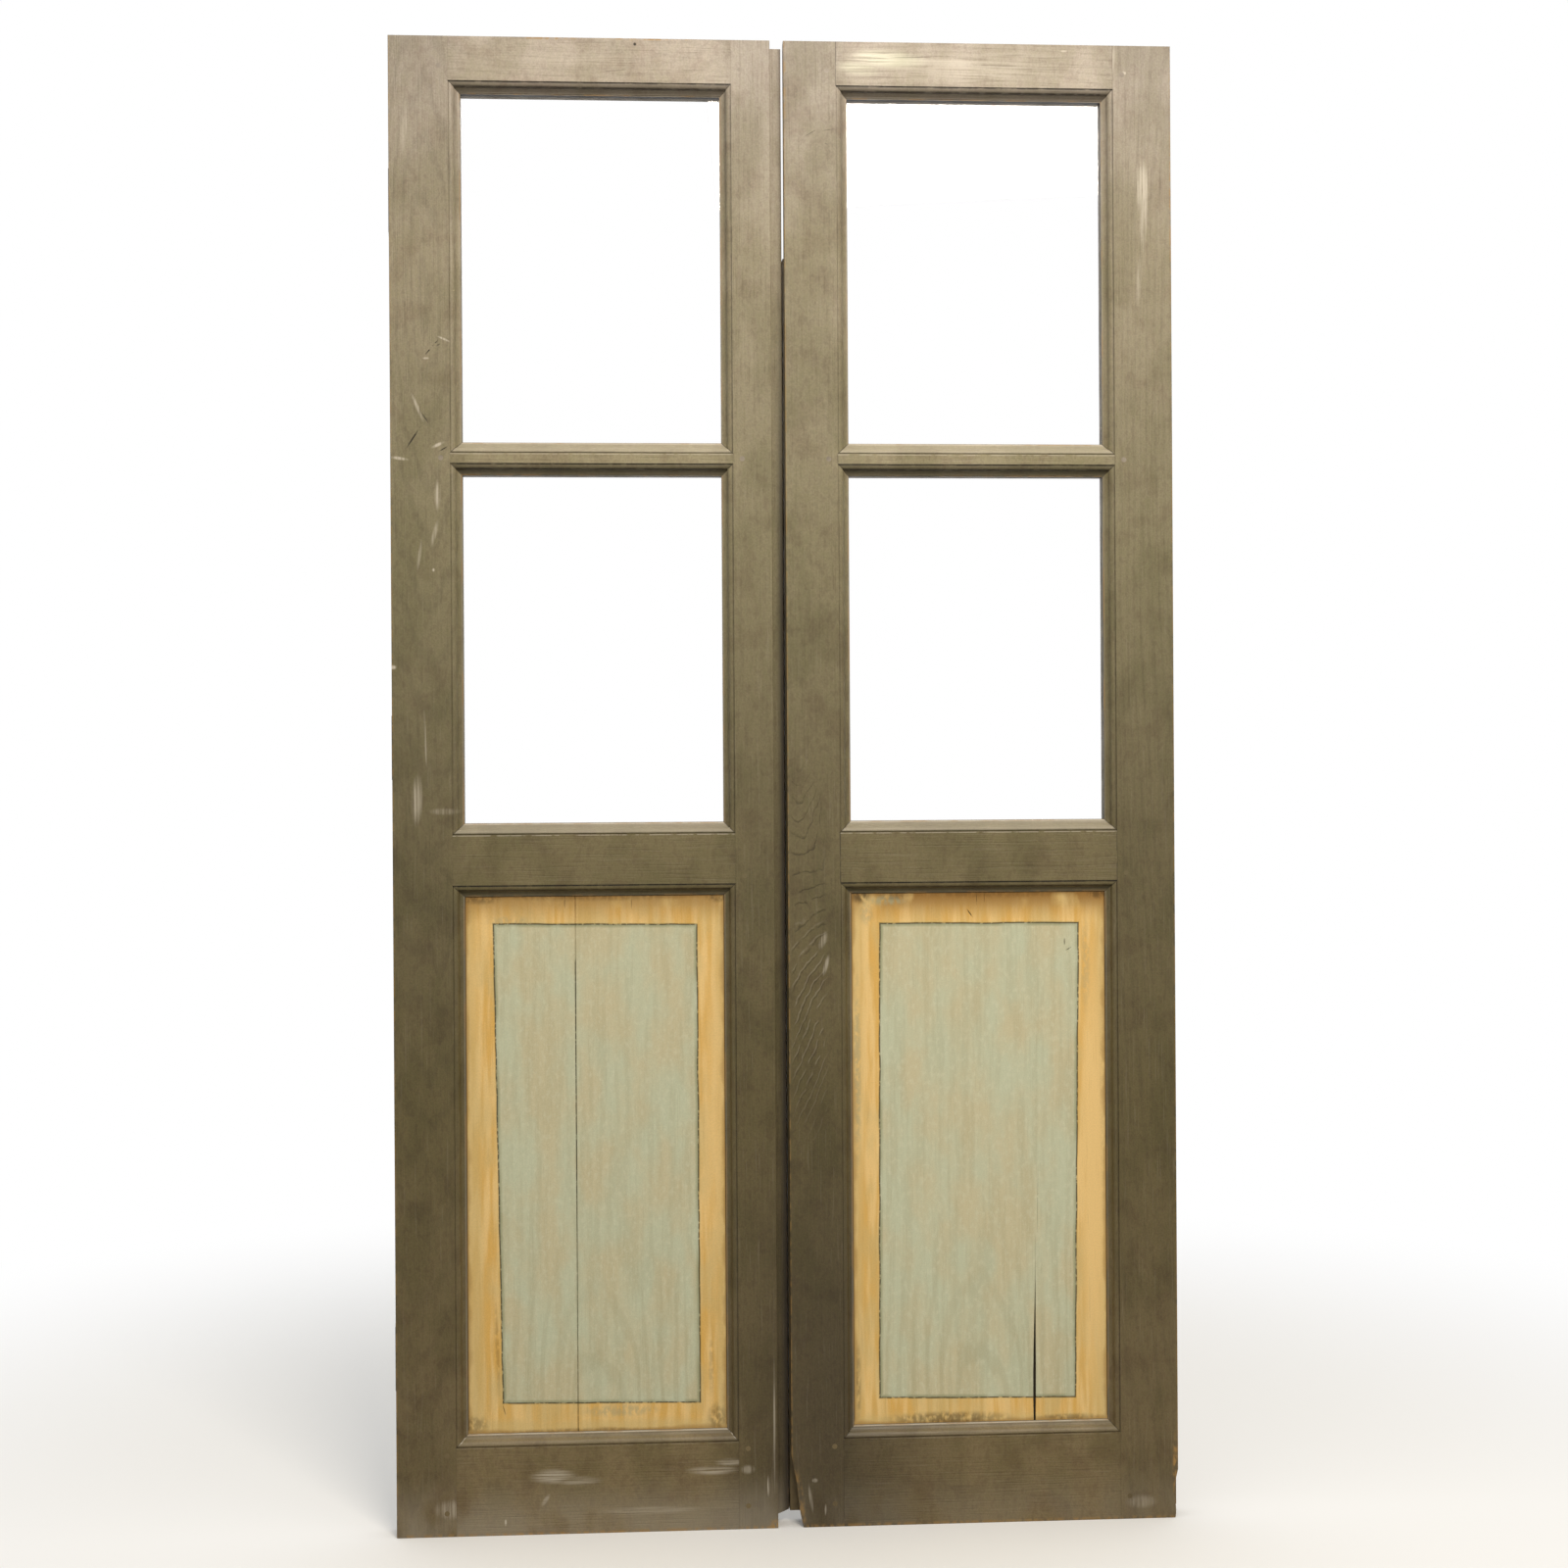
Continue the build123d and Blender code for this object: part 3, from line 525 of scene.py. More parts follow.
# The painted line round each field: X at its foot and head on the left and right, Z at its left and right
# ends
FIELD_LINES = {
    "left": {"left": (-405, -415), "right": (-128, -129), "foot": (182, 177), "head": (856, 853)},
    "right": {"left": (127, 131), "right": (408, 416), "foot": (177, 172), "head": (852, 850)},
}
# Dark smudges on the ochre margins, those along the heads with painted shade under the moulding: X, Z, half
# width, half length (mm), tilt, strength
SMUDGES_AND_SHADE = {
    "left": [
        (-446, 152, 26, 16, 0, 0.55), (-300, 141, 150, 5, 0, 0.35), (-104, 156, 18, 26, 0, 0.60),
        (-437, 892, 44, 10, 0, 0.60), (-98, 892, 24, 10, 0, 0.60), (-270, 894, 190, 9, 0, 0.35),
        (-413, 260, 4, 90, -2, 0.35), (-112, 230, 5, 60, 0, 0.30),
    ],
    "right": [
        (225, 146, 110, 12, 0, 0.75), (400, 144, 60, 6, 0, 0.55), (104, 891, 18, 14, 0, 0.85),
        (150, 891, 30, 9, 0, 0.45), (300, 893, 170, 8, 0, 0.30), (444, 892, 20, 10, 0, 0.65),
        (450, 620, 6, 270, 0, 0.12), (97, 200, 5, 70, 0, 0.45),
    ],
}
# Greenish overpaint that strayed onto the margins
STRAYS = {
    "left": [(-240, 168, 70, 12, 0, 0.5), (-138, 740, 6, 90, 0, 0.5), (-392, 860, 40, 10, 0, 0.4)],
    "right": [
        (142, 884, 34, 9, 0, 0.8), (426, 790, 9, 90, 0, 0.3), (98, 640, 7, 180, 0, 0.5),
        (112, 866, 14, 22, 0, 0.4),
    ],
}
# Where the ochre is paler and cleaner
PALES = {
    "left": [(-106, 600, 20, 290, 0, 0.6), (-440, 780, 14, 120, 0, 0.3)],
    "right": [(436, 500, 26, 420, 0, 1.0), (100, 640, 14, 260, 0, 0.3)],
}
# How brown the head of each ochre margin is, with grime and painted shade under the moulding
HEAD_SHADES = {"left": 0.66, "right": 0.95}
# Painted light: how brightly each panel is lit at its foot and at its head
PANEL_LIGHT_VALUES = {"left": (0.98, 1.01), "right": (1.03, 1.05)}
PANEL_SCORES = {
    "left": [(-315, 888, 0.8, 14, 0, 0.7), (-221, 884, 0.7, 12, 0, 0.5), (-404, 172, 0.9, 10, -15, 0.7)],
    "right": [
        (260, 865, 1.1, 9, -35, 1.0), (396, 823, 0.9, 7, 0, 0.9), (402, 813, 0.9, 6, 60, 0.9),
        (270, 886, 0.7, 12, 0, 0.6), (281, 887, 0.7, 10, 0, 0.5), (355, 450, 0.7, 60, 1, 0.35),
    ],
}


def panel_paint(paint, side_name):
    """Milk-like oil paint on a planed softwood panel: matt, thin, with brush marks down the grain.

    The eye gets a sage field with greener and mauver clouds, a thin dark line, and an ochre margin that is
    stronger beside the line, greyer outside and brown with grime and painted shade against the moulding; the
    panel's brightness by height is painted light.
    """
    leaf = LEAVES[side_name]
    material, shader, place = new_material(f"painted_{side_name}_panel", {"Specular IOR Level": 0.22})
    x, y, z = node("SeparateXYZ", {0: place}).node.outputs
    shift = 3.1 if side_name == "left" else 7.9
    outside = opening_distances(x, z, leaf)[-1]

    # Brush marks 1.8 mm wide in strokes of 9 mm, clouds of 45 to 90 mm, mottling of 6 to 10 mm
    brush = cloud(place, (1.8, 9, 60), 4.0, shift)
    strokes = cloud(place, (9, 9, 110), 3.0, shift + 6)
    clouds = cloud(place, (45, 45, 90), 4.0, shift)
    mottle = cloud(place, (6, 6, 10), 4.0, shift + 1)
    specks = cloud(place, 1.8, 2.0, shift + 5)
    wobble = cloud(place, 45, 2.0, shift + 2)
    breaks = above(cloud(place, 5, 3.0, shift + 4), 0.34, 0.47)

    # Each side of the line is a slightly sloping edge:
    # place = first end + slope (other coordinate - its start)
    middle, half_height = leaf["openings"][0]
    inset = 40 * mm
    low, rise = middle - half_height + inset, 2 * (half_height - inset)
    start, run = leaf["centre"] - leaf["half_width"] + inset, 2 * (leaf["half_width"] - inset)
    distances = []
    for name, along, across, origin, length, sign in (
        ("left", z, x, low, rise, 1.0),
        ("right", z, x, low, rise, -1.0),
        ("foot", x, z, start, run, 1.0),
        ("head", x, z, start, run, -1.0),
    ):
        first, last = (end * mm for end in FIELD_LINES[side_name][name])
        slope = (last - first) / length
        edge = node("Math", {0: along, 1: slope, 2: first - slope * origin}, operation="MULTIPLY_ADD")
        distances.append(times(node("Math", {0: across, 1: edge}, operation="SUBTRACT"), sign))
    shake = node("MapRange", {0: wobble, 1: 0.3, 2: 0.7, 3: -0.5 * mm, 4: 0.5 * mm})
    inside = node("Math", {0: folded("MINIMUM", distances), 1: shake}, operation="ADD")

    # The sage field
    field = blend(paint.field_green, paint.field_buff, above(clouds, 0.34, 0.66))
    layers = (
        (paint.field_shade, strokes, 0.56, 0.38, 0.20),
        (paint.field_pale, mottle, 0.48, 0.70, 0.30),
        (paint.field_shade, brush, 0.44, 0.28, 0.20),
    )
    field = layered(field, layers)

    # The ochre margin: strongest about 12 mm outside the line
    margin = blend(paint.ochre, paint.ochre_pale, above(strokes, 0.36, 0.64))
    thinned = most(above(clouds, 0.42, 0.66), above(inside, -16 * mm, -32 * mm))
    margin = blend(margin, paint.ochre_dull, thinned, 0.60)
    margin = blend(margin, paint.ochre_pale, marks(place, above(clouds, 0.20, 0.40), PALES[side_name]))
    margin = blend(margin, paint.brown, above(brush, 0.42, 0.26), 0.14)
    # Grime and painted shade: the head of the margin browner under the moulding
    head = middle + half_height
    shaded = times(above(z, head - 44 * mm, head), above(clouds, 0.25, 0.50))
    margin = blend(margin, paint.brown, shaded, HEAD_SHADES[side_name])
    # Grime and painted shade: the margin browner against the moulding
    shade_and_grime_reach = node("MapRange", {0: wobble, 1: 0.35, 2: 0.65, 3: 3 * mm, 4: 10 * mm})
    from_edge = node("Math", {0: times(outside, -1.0), 1: shade_and_grime_reach}, operation="DIVIDE")
    margin = blend(margin, paint.brown, above(from_edge, 1.0, 0.0), 0.62)
    margin = blend(margin, paint.field_shade, marks(place, above(mottle, 0.36, 0.56), STRAYS[side_name]))

    is_field = above(inside, -0.5 * mm, 0.5 * mm)
    tone = blend(margin, field, is_field)
    tone = blend(tone, paint.line_green, near(inside, 1.6 * mm, 4.5 * mm), above(clouds, 0.30, 0.55), 0.55)
    line_strength = node("MapRange", {0: breaks, 3: 0.25, 4: 0.92})
    tone = blend(tone, paint.line, near(inside, 0.0, 1.9 * mm), line_strength)
    # Painted shade: a dark line along the panel's edge against the moulding, but not at its foot
    tone = blend(tone, paint.dirt_and_shade, near(outside, 0.0, 1.6 * mm), above(z, 143 * mm, 147 * mm), 0.80)
    # Smudges of grime, with painted shade along the heads
    tone = blend(tone, paint.dirt_and_shade, marks(place, above(mottle, 0.30, 0.58), SMUDGES_AND_SHADE[side_name]), 0.8)
    scores = marks(place, breaks, PANEL_SCORES[side_name])
    tone = blend(tone, paint.dirt_and_shade, scores)

    # The left panel's glue line has opened below 0.81 m: dark above, fainter and more broken lower down
    if side_name == "left":
        joint = near(x, span("left_panel_outer_board", 0)[1], 1.3 * mm)
        strength = node("MapRange", {0: z, 1: 0.40, 2: 0.50, 3: 0.45, 4: 0.95})
        dashes = node("MapRange", {0: breaks, 3: 0.25, 4: 1.0})
        tone = blend(tone, paint.line, joint, strength, dashes, above(z, 810 * mm, 800 * mm))

    # Raised figure near the foot of the panel, faint under the paint
    flame = (leaf["centre"] / mm, 60, 20, 5.0, 0.30)
    shown = node("MapRange", {0: is_field, 3: 0.2, 4: 0.8})
    tone = blend(tone, paint.field_shade, growth_rings(place, flame, "z"), above(z, 0.46, 0.22), shown)
    # Painted light: the panel brighter or darker by height and by leaf
    at_foot, at_head = PANEL_LIGHT_VALUES[side_name]
    value = node("MapRange", {0: specks, 1: 0.3, 2: 0.7, 3: 0.95, 4: 1.05})
    fall = node("MapRange", {0: z, 1: 0.14, 2: 0.90, 3: at_foot, 4: at_head})
    tone = node("HueSaturation", {"Value": times(value, fall), "Color": tone})

    # The back of the panel has the frame's paint
    back = blend(paint.frame_low, paint.frame_middle, above(clouds, 0.34, 0.66))
    back = blend(back, paint.dirt_and_shade, above(brush, 0.46, 0.28), 0.25)
    tone = blend(tone, back, above(y, -6 * mm, -4 * mm))
    roughness = node("MapRange", {0: mottle, 1: 0.3, 2: 0.7, 3: 0.50, 4: 0.66})
    relief = node("Math", {0: brush, 1: 0.5, 2: times(specks, 0.15)}, operation="MULTIPLY_ADD")
    relief = node("Math", {0: scores, 1: -0.6, 2: relief}, operation="MULTIPLY_ADD")
    wear(shader, tone, roughness, relief, 0.4 * mm)
    return material


def plain_paint(paint, name, number):
    """The frame's paint on small pieces, beads and peg heads: the same tone, worn and dirty in patches."""
    material, shader, place = new_material(name, {"Specular IOR Level": 0.3})
    height = above(node("SeparateXYZ", {0: place}, out=2), 0.0, leaf_height)
    # Paler at the top with the frame's painted sheen
    stops = [(0.0, paint.frame_foot), (1.0, paint.frame_top_sheen), (0.45, paint.frame_middle)]
    tone = node("ValToRGB", {0: height}, stops=stops)
    patches = cloud(place, 26, 3.0, number * 2.1)
    fibres = cloud(place, 3, 4.0, number * 1.3)
    layers = [(paint.dirt_and_shade, patches, 0.42, 0.70, 0.30), (paint.undercoat, fibres, 0.60, 0.78, 0.25)]
    tone = layered(tone, layers)
    roughness = node("MapRange", {0: patches, 1: 0.3, 2: 0.7, 3: 0.42, 4: 0.62})
    wear(shader, tone, roughness, fibres, 0.3 * mm)
    return material


def bare_oak():
    """Cleft oak wedges, unpainted and handled: dull brown with darker fibres across the end."""
    material, shader, place = new_material("bare_oak")
    fibres = cloud(place, (20, 1.2, 1.2), 4.0)
    tone = blend(linear("#6b5134"), linear("#9a7a52"), above(fibres, 0.38, 0.62))
    roughness = node("MapRange", {0: fibres, 3: 0.6, 4: 0.8})
    wear(shader, tone, roughness, fibres, 0.3 * mm)
    return material


def drawn_glass():
    """Drawn window glass: clear, smooth and very slightly wavy."""
    clear = {"Base Color": WHITE, "Transmission Weight": 1.0, "IOR": 1.52, "Roughness": 0.0}
    material, shader, place = new_material("drawn_glass", clear)
    waves = cloud(place, (300, 300, 90), 1.0)
    wire(shader, {"Normal": node("Bump", {"Strength": 0.25, "Distance": 0.5 * mm, "Height": waves})})
    return material


def wrought_iron():
    """Forged iron strap, blackened and rusted a little: dark, half dull, uneven from the hammer."""
    material, shader, place = new_material("wrought_iron")
    hammered = cloud(place, 9, 2.0)
    rusted = above(cloud(place, 5, 5.0, 4.0), 0.50, 0.64)
    tone = blend(linear("#4a4541"), linear("#6e4229"), rusted)
    wire(shader, {"Metallic": node("MapRange", {0: rusted, 3: 1.0, 4: 0.1})})
    roughness = node("MapRange", {0: rusted, 3: 0.42, 4: 0.85})
    wear(shader, tone, roughness, hammered, 0.5 * mm)
    return material


def turned_steel(name):
    """Mild steel, turned and oiled: mid grey with fine rings and a few dull stains."""
    material, shader, place = new_material(name, {"Metallic": 1.0})
    stains = cloud(place, 4, 4.0)
    lathe_rings = cloud(place, (40, 40, 0.8), 2.0)
    tone = blend(linear("#8d8880"), linear("#5d544a"), above(stains, 0.45, 0.65))
    roughness = node("MapRange", {0: stains, 1: 0.3, 2: 0.7, 3: 0.32, 4: 0.55})
    wear(shader, tone, roughness, lathe_rings, 0.1 * mm)
    return material


def add_piece(name, points, faces, material, body):
    """A new mesh piece of points and faces that rides on a body and takes its finish from a slot."""
    mesh = bpy.data.meshes.new(name)
    mesh.from_pydata(points.tolist(), [], faces)
    mesh.validate()
    mesh.materials.append(material)
    mesh.update()
    piece = bpy.data.objects.new(name, mesh)
    bpy.context.scene.collection.objects.link(piece)
    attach(piece, body)
    return piece


def grid_faces(rows, columns, start=0):
    """Quads of a grid of rows by columns points, numbered row by row."""
    corner = np.arange(rows - 1)[:, None] * columns + np.arange(columns - 1)[None, :] + start
    quads = np.stack([corner, corner + 1, corner + columns + 1, corner + columns], axis=-1)
    return quads.reshape(-1, 4)


def screw_head(radius, dome, slot_half_width, slot_depth, depth, cells=18):
    """A slotted countersunk head, closed all round, with its rim at height 0 and its axis along +Z.

    A square grid (u, v) becomes a disc: x = u sqrt(1 - v^2 / 2), y = v sqrt(1 - u^2 / 2).
    Its height is dome (1 - x^2 - y^2), less the slot depth where |y| is under the slot's half width.
    A second, smaller disc at -depth closes the cone below, joined to the first round their rims.
    """
    half = slot_half_width / radius
    line = np.linspace(-1, 1, cells + 1)
    slot_walls = half * np.array([-1, -0.99, 0.99, 1])
    across = np.unique(np.concatenate([line[np.abs(line) > half * 1.4], slot_walls]))
    u, v = np.meshgrid(line, across)
    x = u * np.sqrt(1 - v**2 / 2)
    y = v * np.sqrt(1 - u**2 / 2)
    height = dome * (1 - x**2 - y**2)
    in_slot = (np.abs(v) < half * 0.995) & (np.abs(u) < 1)
    top = np.stack([x * radius, y * radius, height - slot_depth * in_slot], axis=-1).reshape(-1, 3)
    foot_radius = radius - depth
    low = np.stack([x * foot_radius, y * foot_radius, np.full_like(x, -depth)], axis=-1).reshape(-1, 3)
    rows, columns = u.shape
    number = np.arange(rows * columns).reshape(rows, columns)
    rim = np.concatenate([number[0], number[1:, -1], number[-1, -2::-1], number[-2:0:-1, 0]])
    beside = np.roll(rim, -1)
    below = rows * columns
    side = np.stack([rim, rim + below, beside + below, beside], axis=-1)
    upper = grid_faces(rows, columns)
    lower = grid_faces(rows, columns, below)[:, ::-1]
    return np.concatenate([top, low]), np.concatenate([upper, lower, side])


def bands(rings, sides):
    """Quads between rings of points, numbered ring by ring."""
    step = np.arange(sides)
    after = np.roll(step, -1)
    row = np.arange(rings - 1)[:, None] * sides
    quads = np.stack([step + row, after + row, after + row + sides, step + row + sides], axis=-1)
    return quads.reshape(-1, 4)


def brad_head(radius, height, rings=3, sides=10):
    """A small domed pin head, closed, over a disc.

    Its radius is cos(t) and its height sin(t), for t from 0 to nearly a quarter turn.
    """
    t = np.linspace(0, math.pi / 2 * 0.9, rings)
    angle = np.arange(sides) * 2 * math.pi / sides
    ring = np.stack([np.cos(angle), np.sin(angle), np.zeros(sides)], axis=-1)
    points = ring[None] * (radius * np.cos(t))[:, None, None]
    points[..., 2] = (height * np.sin(t))[:, None]
    points = np.concatenate([points.reshape(-1, 3), [[0, 0, height], [0, 0, 0]]])
    step = np.arange(sides)
    after = np.roll(step, -1)
    top = (rings - 1) * sides
    crown = np.stack([step + top, after + top, np.full(sides, rings * sides)], -1)
    base = np.stack([after, step, np.full(sides, rings * sides + 1)], -1)
    return points, bands(rings, sides), np.concatenate([crown, base])


def skin(rings):
    """A closed skin through rings of points, which run anticlockwise from above, from the lowest ring up."""
    count, sides = rings.shape[:2]
    foot = np.arange(sides)[::-1]
    head = np.arange(sides) + (count - 1) * sides
    return rings.reshape(-1, 3), [*bands(count, sides).tolist(), foot.tolist(), head.tolist()]


def repeat(points, faces, places, turns):
    """Copies of a shape at several places, each turned by its own 3 by 3 matrix."""
    copies = np.einsum("nij,pj->npi", turns, points) + places[:, None, :]
    offsets = np.arange(len(places))[:, None, None] * len(points)
    return copies.reshape(-1, 3), (faces[None] + offsets).reshape(-1, faces.shape[1])


def colour(name, description, code):
    """A colour of the settings, which starts from an sRGB hex code."""
    return bpy.props.FloatVectorProperty(
        name=name, description=description, subtype="COLOR", size=4, min=0, max=1, default=linear(code)
    )


def angle(name, description, degrees):
    """An angle of the settings, which starts from a number of degrees."""
    return bpy.props.FloatProperty(
        name=name, description=description, subtype="ANGLE", default=math.radians(degrees)
    )


class DoorPaintSettings(bpy.types.PropertyGroup):
    """Colours of the paint."""

    # The top and high frame colours carry painted sheen from above
    frame_top_sheen: colour("Frame, Top", "Frame paint at the head of the leaves", "#a69b8d")
    frame_high_sheen: colour("Frame, High", "Frame paint beside the upper lights", "#988d74")
    frame_upper: colour("Frame, Upper", "Frame paint beside the lower lights", "#837a5c")
    frame_middle: colour("Frame, Middle", "Frame paint at the lock rails", "#695f42")
    frame_low: colour("Frame, Low", "Frame paint beside the panels", "#625737")
    frame_foot: colour("Frame, Foot", "Frame paint at the feet of the leaves", "#706144")
    frame_green: colour("Frame, Green", "Tint of the frame paint's greener blotches", "#7c8470")
    frame_mauve: colour("Frame, Mauve", "Tint of the frame paint's mauver blotches", "#877878")
    undercoat: colour("Undercoat", "Ochre brown that shows where the frame paint is worn", "#a5804a")
    # Also painted highlights on fillets, mouldings above rails and ripple crests, and painted sheen and glare
    rubbed_and_highlight: colour("Rubbed Paint", "Pale grey of polished rubs", "#cfc5b2")
    # Also painted shade in the mouldings, on the lip, along the panels' edges and margins and in the split
    dirt_and_shade: colour("Dirt", "Dark brown that gathers in corners and scores", "#241c10")
    field_green: colour("Field, Green", "Greener clouds of the panel's field", "#c3c6a8")
    field_buff: colour("Field, Buff", "Warmer clouds of the panel's field", "#c8bf9b")
    field_shade: colour("Field, Shade", "Darker brush marks of the field", "#a49e7b")
    field_pale: colour("Field, Pale", "Paler mottling of the field", "#d8d7bb")
    ochre: colour("Ochre", "Full colour of the panel's margin", "#ddb05f")
    ochre_pale: colour("Ochre, Pale", "Thin paint on the margin", "#ecc885")
    ochre_dull: colour("Ochre, Dull", "Greyed paint on the margin", "#cfb77c")
    brown: colour("Brown", "Dirt on the margin against the moulding", "#936a30")
    line: colour("Line", "Thin dark line round the field", "#2e2a1a")
    line_green: colour("Line, Shade", "Soft green shade inside the line", "#7d8460")


class DoorStageSettings(bpy.types.PropertyGroup):
    """Light, floor and camera."""

    floor_colour: colour("Floor", "Colour of the floor", "#e9e8e5")
    floor_shade: colour("Floor, Bounced", "Colour of the light that the floor throws back up", "#6e6a62")
    sky_high: bpy.props.FloatProperty(
        name="Light Above", description="Strength of the soft light from above", min=0, default=1.05)
    sky_low: bpy.props.FloatProperty(
        name="Light Below", description="Strength of the soft light from below", min=0, default=0.12)
    lamp_power: bpy.props.FloatProperty(
        name="Lamp", description="Power of the large lamp above the camera", unit="POWER", min=0,
        default=72.0)
    lens: bpy.props.FloatProperty(
        name="Lens", description="Focal length of the camera, in millimetres", min=1, default=49.5)
    camera_place: bpy.props.FloatVectorProperty(
        name="Camera", description="Where the camera stands", subtype="TRANSLATION",
        default=(-0.19, -3.064, 1.054))
    camera_yaw: angle("Camera Turn", "How far the camera looks to the right", 3.484)
    camera_pitch: angle("Camera Tilt", "How far the camera looks up", -0.061)
    camera_roll: angle("Camera Roll", "How far the camera leans", 0.347)


class DOORS_OT_paint_frames(bpy.types.Operator):
    """Paints the stiles, the rails, the pegs and the glazing beads of both leaves"""

    bl_idname = "doors.paint_frames"
    bl_label = "Paint the Frames"

    def execute(self, context):
        paint = context.scene.door_paint
        boards = [(side_name, part_name) for side_name in SIDES for part_name in STILES + RAILS]
        for number, (side_name, part_name) in enumerate(boards, start=1):
            dress(frame_paint(paint, side_name, part_name, number), f"{side_name}_{part_name}")
        beads = plain_paint(paint, "painted_beads", 1)
        pegs = plain_paint(paint, "painted_pegs", 2)
        oak = bare_oak()
        for side_name in SIDES:
            for light in LIGHTS:
                dress(beads, *(f"{side_name}_{light}_bead_{margin}" for margin in MARGINS))
            dress(pegs, side_name + "_pegs")
            dress(oak, side_name + "_wedges")
        return {"FINISHED"}


class DOORS_OT_paint_panels(bpy.types.Operator):
    """Paints the sage fields, the dark lines and the ochre margins of the panels"""

    bl_idname = "doors.paint_panels"
    bl_label = "Paint the Panels"

    def execute(self, context):
        paint = context.scene.door_paint
        dress(panel_paint(paint, "left"), "left_panel_outer_board", "left_panel_inner_board")
        dress(panel_paint(paint, "right"), "right_panel")
        return {"FINISHED"}


class DOORS_OT_glaze(bpy.types.Operator):
    """Gives the panes their glass"""

    bl_idname = "doors.glaze"
    bl_label = "Glaze the Lights"

    def execute(self, context):
        dress(drawn_glass(), *(f"{side_name}_{light}_glass" for side_name in SIDES for light in LIGHTS))
        return {"FINISHED"}


class DOORS_OT_pin_beads(bpy.types.Operator):
    """Adds the small pins that hold the glazing beads, with their heads on the beads' backs"""

    bl_idname = "doors.pin_beads"
    bl_label = "Pin the Beads"

    def execute(self, context):
        head_radius, head_height = 1.3 * mm, 0.6 * mm
        spacing = 130 * mm
        end_margin = 35 * mm
        from_outer_edge = 3.5 * mm
        points, quads, triangles = brad_head(head_radius, head_height)
        facing_back = np.array([[1, 0, 0], [0, 0, 1], [0, -1, 0]], float)
        steel = turned_steel("pin_steel")
        for side_name in SIDES:
            leaf = LEAVES[side_name]
            for light, (light_middle, _) in zip(LIGHTS, leaf["openings"][1:]):
                rows = []
                for margin in MARGINS:
                    low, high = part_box(f"{side_name}_{light}_bead_{margin}")
                    is_upright = margin in ("hinge", "meeting")
                    along, across = (2, 0) if is_upright else (0, 2)
                    # A bead is flat beside its outer edge, the one away from the light's middle
                    middle = leaf["centre"] if is_upright else light_middle
                    is_before = (low[across] + high[across]) / 2 < middle
                    on_low, on_high = low[across] + from_outer_edge, high[across] - from_outer_edge
                    start, end = low[along] + end_margin, high[along] - end_margin
                    row = np.full((round((end - start) / spacing) + 1, 3), high[1])
                    row[:, along] = np.linspace(start, end, len(row))
                    row[:, across] = on_low if is_before else on_high
                    rows.append(row)
                places = np.concatenate(rows)
                turns = np.repeat(facing_back[None], len(places), axis=0)
                moved, moved_quads = repeat(points, quads, places, turns)
                moved_triangles = repeat(points, triangles, places, turns)[1]
                faces = moved_quads.tolist() + moved_triangles.tolist()
                name = f"{side_name}_{light}_bead_pins"
                add_piece(name, moved, faces, steel, side_name + "_leaf")
        return {"FINISHED"}


class DOORS_OT_close_joint(bpy.types.Operator):
    """Adds the painted strip behind the right leaf's tongue, which closes the joint but for its top"""

    bl_idname = "doors.close_joint"
    bl_label = "Close the Meeting Joint"

    def execute(self, context):
        tongue_edge = LEAVES["right"]["edges"][0]
        rebate_edge = -LEAVES["left"]["edges"][1] + strip_room
        tongue_room, back_room, ease = 0.1 * mm, 0.3 * mm, 0.8 * mm
        near_y, far_y = face_y + tongue_thickness + tongue_room, back_y - back_room
        # The side towards the left leaf leans, as the leaf's swing about its pins needs
        near_reach, far_reach = 1.2 * mm, 1.7 * mm
        near_x, far_x = tongue_edge - near_reach, tongue_edge - far_reach
        profile = [
            (near_x + ease, near_y),
            (rebate_edge, near_y),
            (rebate_edge, far_y),
            (far_x + ease, far_y),
            (far_x, far_y - ease),
            (near_x, near_y + ease),
        ]
        points, faces = skin(np.array([[(x, y, z) for x, y in profile] for z in (strip_foot, strip_top)]))
        material = plain_paint(context.scene.door_paint, "painted_strip", 3)
        add_piece("right_meeting_strip", points, faces, material, "right_leaf")
        return {"FINISHED"}


class DOORS_OT_fill_split(bpy.types.Operator):
    """Adds a dark fill of old grime and painted shade in the right panel's split, which lets no light through
    """

    bl_idname = "doors.fill_split"
    bl_label = "Fill the Split"

    def execute(self, context):
        mesh = nodes["right_panel"].data
        points, normals = np.empty((2, len(mesh.vertices) * 3))
        mesh.vertices.foreach_get("co", points)
        mesh.vertices.foreach_get("normal", normals)
        x, y, z = points.reshape(-1, 3).T
        edge_room, foot_room, tolerance = 10 * mm, 2 * mm, 0.01 * mm
        front_depth, back_depth = 4 * mm, 8 * mm
        levels = 30
        # The split's walls face each other across it; the panel's own edges lie further out
        at_face = y < y.min() + tolerance
        inside = at_face & (x > x.min() + edge_room) & (x < x.max() - edge_room)
        turn = normals.reshape(-1, 3)[:, 0]
        heights = np.linspace(z[inside].min() + foot_room, z[inside].max(), levels)
        walls = []
        for way in (1, -1):
            wall = inside & (turn * way > 0.9)
            order = z[wall].argsort()
            walls.append(np.interp(heights, z[wall][order], x[wall][order]))
        left, right = walls
        if left.mean() >= right.mean():
            raise RuntimeError("the right panel's split was not found")
        front, back = (np.full(levels, y.min() + depth) for depth in (front_depth, back_depth))
        corners = ((left, front), (right, front), (right, back), (left, back))
        rings = np.array([(across, deep, heights) for across, deep in corners]).transpose(2, 0, 1)
        points, faces = skin(rings)
        values = {"Base Color": context.scene.door_paint.dirt_and_shade, "Roughness": 0.95}
        grime_and_shade_fill = new_material("packed_grime_and_shade", values)[0]
        add_piece("right_split_grime_and_shade", points, faces, grime_and_shade_fill, "right_leaf")
        return {"FINISHED"}


